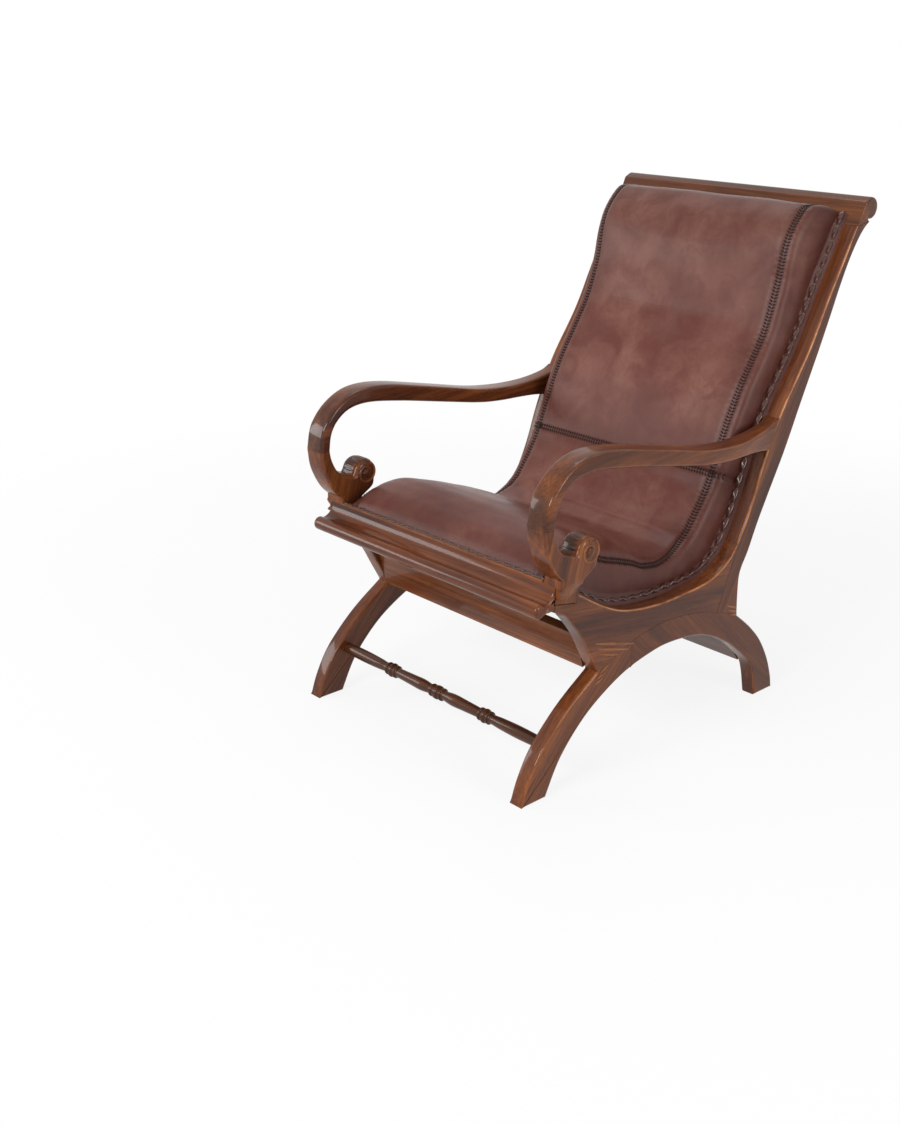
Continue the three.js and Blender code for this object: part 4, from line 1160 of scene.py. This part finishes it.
def on_pad(across_mm, along_share):
    """Points and normals of the finished leather at an X and a share of the pad's length."""
    columns = np.interp(across_mm / PAD_HALF, fine_across, np.arange(FINE_COLUMNS))
    rows = np.interp(along_share, fine_along, np.arange(FINE_ROWS))
    i = np.clip(rows.astype(int), 0, FINE_ROWS - 2)
    j = np.clip(columns.astype(int), 0, FINE_COLUMNS - 2)
    s, t = (rows - i)[..., None], (columns - j)[..., None]

    def value(field):
        return ((field[i, j] * (1 - t) + field[i, j + 1] * t) * (1 - s)
                + (field[i + 1, j] * (1 - t) + field[i + 1, j + 1] * t) * s)
    return value(pad_top), value(final_normal)


final_normal = grid_normals(pad_top)
LACE_PITCH = 6.4
LACE_INNER = 1.3
LACE_OUTER = 6.0
LACE_SLANT = 0.16
LACE_ARCH = 1.5
LACE_SUNK = 0.7
THREAD = 1.35
LACE_POINTS = 5


def laces(seam, over, slant):
    """Arched threads on both sides of a seam, from its middle to the holes.

    Each row holds an X and a share of the pad's length: the spots on the seam, a step of 1 mm over it, and
    how far the slant takes a thread's ends.
    """
    share = np.linspace(0, 1, LACE_POINTS)[:, None]
    lift = LACE_ARCH * np.sin(math.pi * share) ** 0.5 - LACE_SUNK
    shells = []
    for way in (-1, 1):
        for start, end in zip(seam + LACE_INNER * way * over - slant, seam + LACE_OUTER * way * over + slant):
            spots, normals = on_pad(*(start + (end - start) * share).T)
            shells.append(tube(spots + normals * lift, THREAD, 6, up=normals))
    return shells


def side_lacing(side):
    """The lacing of one side seam, spaced along the leather's surface."""
    share = np.linspace(0.006, 0.994, 900)
    along = lengths_along(on_pad(side * seam_x(share), share)[0])
    at = np.interp(np.arange(LACE_PITCH / 2, along[-1], LACE_PITCH), along, share)
    seam = side * seam_x(at)
    outer, inner = on_pad(seam + 1, at)[0], on_pad(seam - 1, at)[0]
    ease = 2 / norm(outer - inner)
    none = np.zeros_like(at)
    return laces(np.stack([seam, at], axis=1), np.stack([ease, none], axis=1),
                 np.stack([none, LACE_SLANT * np.gradient(at)], axis=1))


def cross_lacing():
    """The lacing of the seam between seat and back."""
    reach = PAD_HALF - 6
    count = int(2 * reach / LACE_PITCH)
    at = (np.arange(count) + 0.5) / count * 2 * reach - reach
    return laces(np.stack([at, np.full(count, CROSS_SEAM)], axis=1), np.array([0, 1 / pad_length]),
                 np.array([LACE_SLANT * LACE_PITCH, 0]))


for name, threads in (("side_lacing_left", side_lacing(1)), ("side_lacing_right", side_lacing(-1)),
                      ("cross_lacing", cross_lacing())):
    piece(name, threads, "thread", sharp=80)


# Braids: a leather strip pinched down by small nails, rolled up into a bead between them

SPOTS_PER_PITCH = 16
BRAID_SIDES = 14


def strip_and_nails(path, up, half, rise, pitch, nail_radius):
    """A strip along a path, half wide and rise high between its nails, with its nails."""
    along = lengths_along(path)
    count = max(1, int(round(along[-1] / pitch)))
    at = np.linspace(0, along[-1], count * SPOTS_PER_PITCH + 1)
    spots, ups = spots_at(at, along, path), spots_at(at, along, up)
    tangents = unit(np.gradient(spots, axis=0))
    side = unit(np.cross(tangents, ups))
    ups = np.cross(side, tangents)
    phase = (np.arange(len(at)) % SPOTS_PER_PITCH / SPOTS_PER_PITCH)[:, None]
    swell = np.sin(math.pi * phase) ** 0.7
    tilt = 0.5 * np.sin(2 * math.pi * phase)
    cosine, sine = circle(BRAID_SIDES).T
    fold = 0.28 * bell(cosine - 0.15, 0.2) * (sine > 0)
    wide = half * (0.58 + 0.42 * swell) * cosine
    high = rise * (0.42 + 0.58 * swell) * (0.45 + sine - fold + tilt * cosine)
    strip = lofted(spots[:, None] + wide[..., None] * side[:, None] + high[..., None] * ups[:, None])
    nails = []
    for i in range(0, len(at), SPOTS_PER_PITCH):
        foot = spots[i] + ups[i] * rise * 0.3
        around = cosine[:, None] * side[i] + sine[:, None] * tangents[i]
        nails.append(lofted([
            foot + nail_radius * (0.8 * math.sin(turn) * ups[i] + math.cos(turn * 0.97) * around)
            for turn in turn_steps]))
    return [strip], nails


BRAID_X = 269.6
BRAID_POINTS = 240
braid_share = np.linspace(PAD_START + 0.004, 0.9985, BRAID_POINTS)
line, above = (beside(braid_share, offset) for offset in (4.8, 7.0))
strip, nails = strip_and_nails(at_x(BRAID_X, line), at_x(0.0, unit(above - line)),
                               half=5.6, rise=4.6, pitch=31.0, nail_radius=2.9)
for side, shells, heads in (("left", strip, nails), ("right", mirror(strip), mirror(nails))):
    piece(f"braid_{side}_visual", shells, "cord", [f"braid_{side}"], sharp=60)
    piece(f"braid_nails_{side}", heads, "nail", sharp=60)

FRONT_POINTS = 60
FRONT_BRAID = (FRONT_RAIL_BACK - 3.2, FRONT_RAIL_TOP + 0.2)
front_x = np.linspace(-(FRAME_INNER - 3), FRAME_INNER - 3, FRONT_POINTS)
front_path = at_x(front_x, np.tile(FRONT_BRAID, (FRONT_POINTS, 1)))
front_up = np.tile((0.0, -0.25, 0.97), (FRONT_POINTS, 1))
strip, nails = strip_and_nails(front_path, front_up, half=3.0, rise=1.6, pitch=24.0, nail_radius=1.7)
piece("front_braid_visual", strip, "cord", ["front_braid"], sharp=60)
piece("front_braid_nails", nails, "nail", sharp=60)


# Lining under the seat and behind the back

LINING_START = PAD_START + 0.01
LINING_END = 0.955
LINING_SAG = 3.0
LINING_FOLDS = 2.4
lining_u, lining_v = np.meshgrid(np.linspace(-1, 1, 41), np.linspace(LINING_START, LINING_END, 120))
folds = soft_noise(np.stack([lining_u * 3.2, lining_v * 9.0, lining_u * 0], axis=-1), 1, 4.0)
sag = LINING_SAG * (1 - lining_u ** 2) + folds * LINING_FOLDS * (1 - lining_u ** 4) + 1.1
lining_x = lining_u * (FRAME_INNER - 1)
lining_top, lining_bottom = (at_x(lining_x, beside(lining_v, -LINING_DROP + face - sag))
                             for face in (0.3, -0.7))
lining = piece("back_lining_visual", [closed_grid(lining_top, lining_bottom)], "lining",
               ["back_lining"], sharp=60)


# Carried-over nodes

CARRIED = {"dowel": "hidden", "cleat": "hidden", "strap": "webbing", "board": "cross"}
for name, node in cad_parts.items():
    for word, finish in CARRIED.items():
        if word in name:
            node.data.materials.clear()
            node.data.materials.append(FINISHES[finish])


# Stage, lights and camera


def floor_finish():
    """Pale floor that looks white from afar, with the object's shadow left on it."""
    s = Shader("pale_floor")
    lit = s.add("ShaderNodeBsdfDiffuse", {"Color": (0.82, 0.82, 0.82, 1)})
    glow = s.add("ShaderNodeEmission", {"Color": (1, 1, 1, 1), "Strength": 1.0})
    away = s.add("ShaderNodeVectorMath", {0: s.coords()}, operation="LENGTH").outputs["Value"]
    share = s.mapped(away, (0.8, 2.6), (0.86, 1.0), interpolation_type="SMOOTHSTEP")
    blend = s.add("ShaderNodeMixShader", {0: s.math("MULTIPLY", s.background_seen(), share),
                                          1: lit.outputs[0], 2: glow.outputs[0]})
    return s.show(blend.outputs[0])


FLOOR_HALF = 9.0
floor_mesh = bpy.data.meshes.new("floor")
floor_mesh.from_pydata([(FLOOR_HALF * x, FLOOR_HALF * y, 0) for x, y in ((-1, -1), (1, -1), (1, 1), (-1, 1))],
                       [], [(0, 1, 2, 3)])
floor_mesh.materials.append(floor_finish())
floor = placed("floor", floor_mesh)

SOFT_LIGHT = 0.3
studio = Shader("studio", bpy.data.worlds, "ShaderNodeOutputWorld")
soft, white = (studio.add("ShaderNodeBackground", {"Color": (1, 1, 1, 1), "Strength": strength}).outputs[0]
               for strength in (SOFT_LIGHT, 1.0))
sky = studio.add("ShaderNodeMixShader", {0: studio.background_seen(), 1: soft, 2: white})
bpy.context.scene.world = studio.show(sky.outputs[0])


def softbox(name, place, aim, size, power):
    """A rectangular lamp of a size in metres, turned to a point."""
    lamp = bpy.data.lights.new(name, "AREA")
    lamp.shape = "RECTANGLE"
    lamp.size, lamp.size_y = size
    lamp.energy = power
    made = placed(name, lamp)
    made.location = place
    made.rotation_euler = (Vector(aim) - Vector(place)).to_track_quat("-Z", "Y").to_euler()


softbox("key", (0.5, -5.0, 3.3), (0, 0, 0.5), size=(2.3, 1.8), power=226)
softbox("side", (3.4, 0.2, 1.6), (0, 0, 0.5), size=(0.9, 1.5), power=46)
softbox("top", (-0.6, 0.6, 3.4), (0, 0, 0.5), size=(1.5, 1.5), power=24)
softbox("fill", (-2.6, -2.4, 1.2), (0, 0, 0.4), size=(1.2, 1.2), power=34)

# The camera, solved from the photograph's straight edges and the feet
YAW = math.radians(47.1225)
PITCH = math.radians(20.9409)
ROLL = 0.0117151
back = Vector((math.sin(YAW) * math.cos(PITCH), -math.cos(YAW) * math.cos(PITCH), math.sin(PITCH)))
right = Vector((math.cos(YAW), math.sin(YAW), 0))
upright = back.cross(right)
rolled_right = right * math.cos(ROLL) + upright * math.sin(ROLL)
rolled_up = upright * math.cos(ROLL) - right * math.sin(ROLL)
lens = bpy.data.cameras.new("camera")
lens.lens = 44.65
lens.sensor_width = 36
camera = placed("camera", lens)
turned = Matrix((rolled_right, rolled_up, back)).transposed().to_4x4()
camera.matrix_world = Matrix.Translation((1.8112, -2.0552, 1.3022)) @ turned
bpy.context.scene.camera = camera
bpy.context.scene.view_settings.view_transform = "Standard"
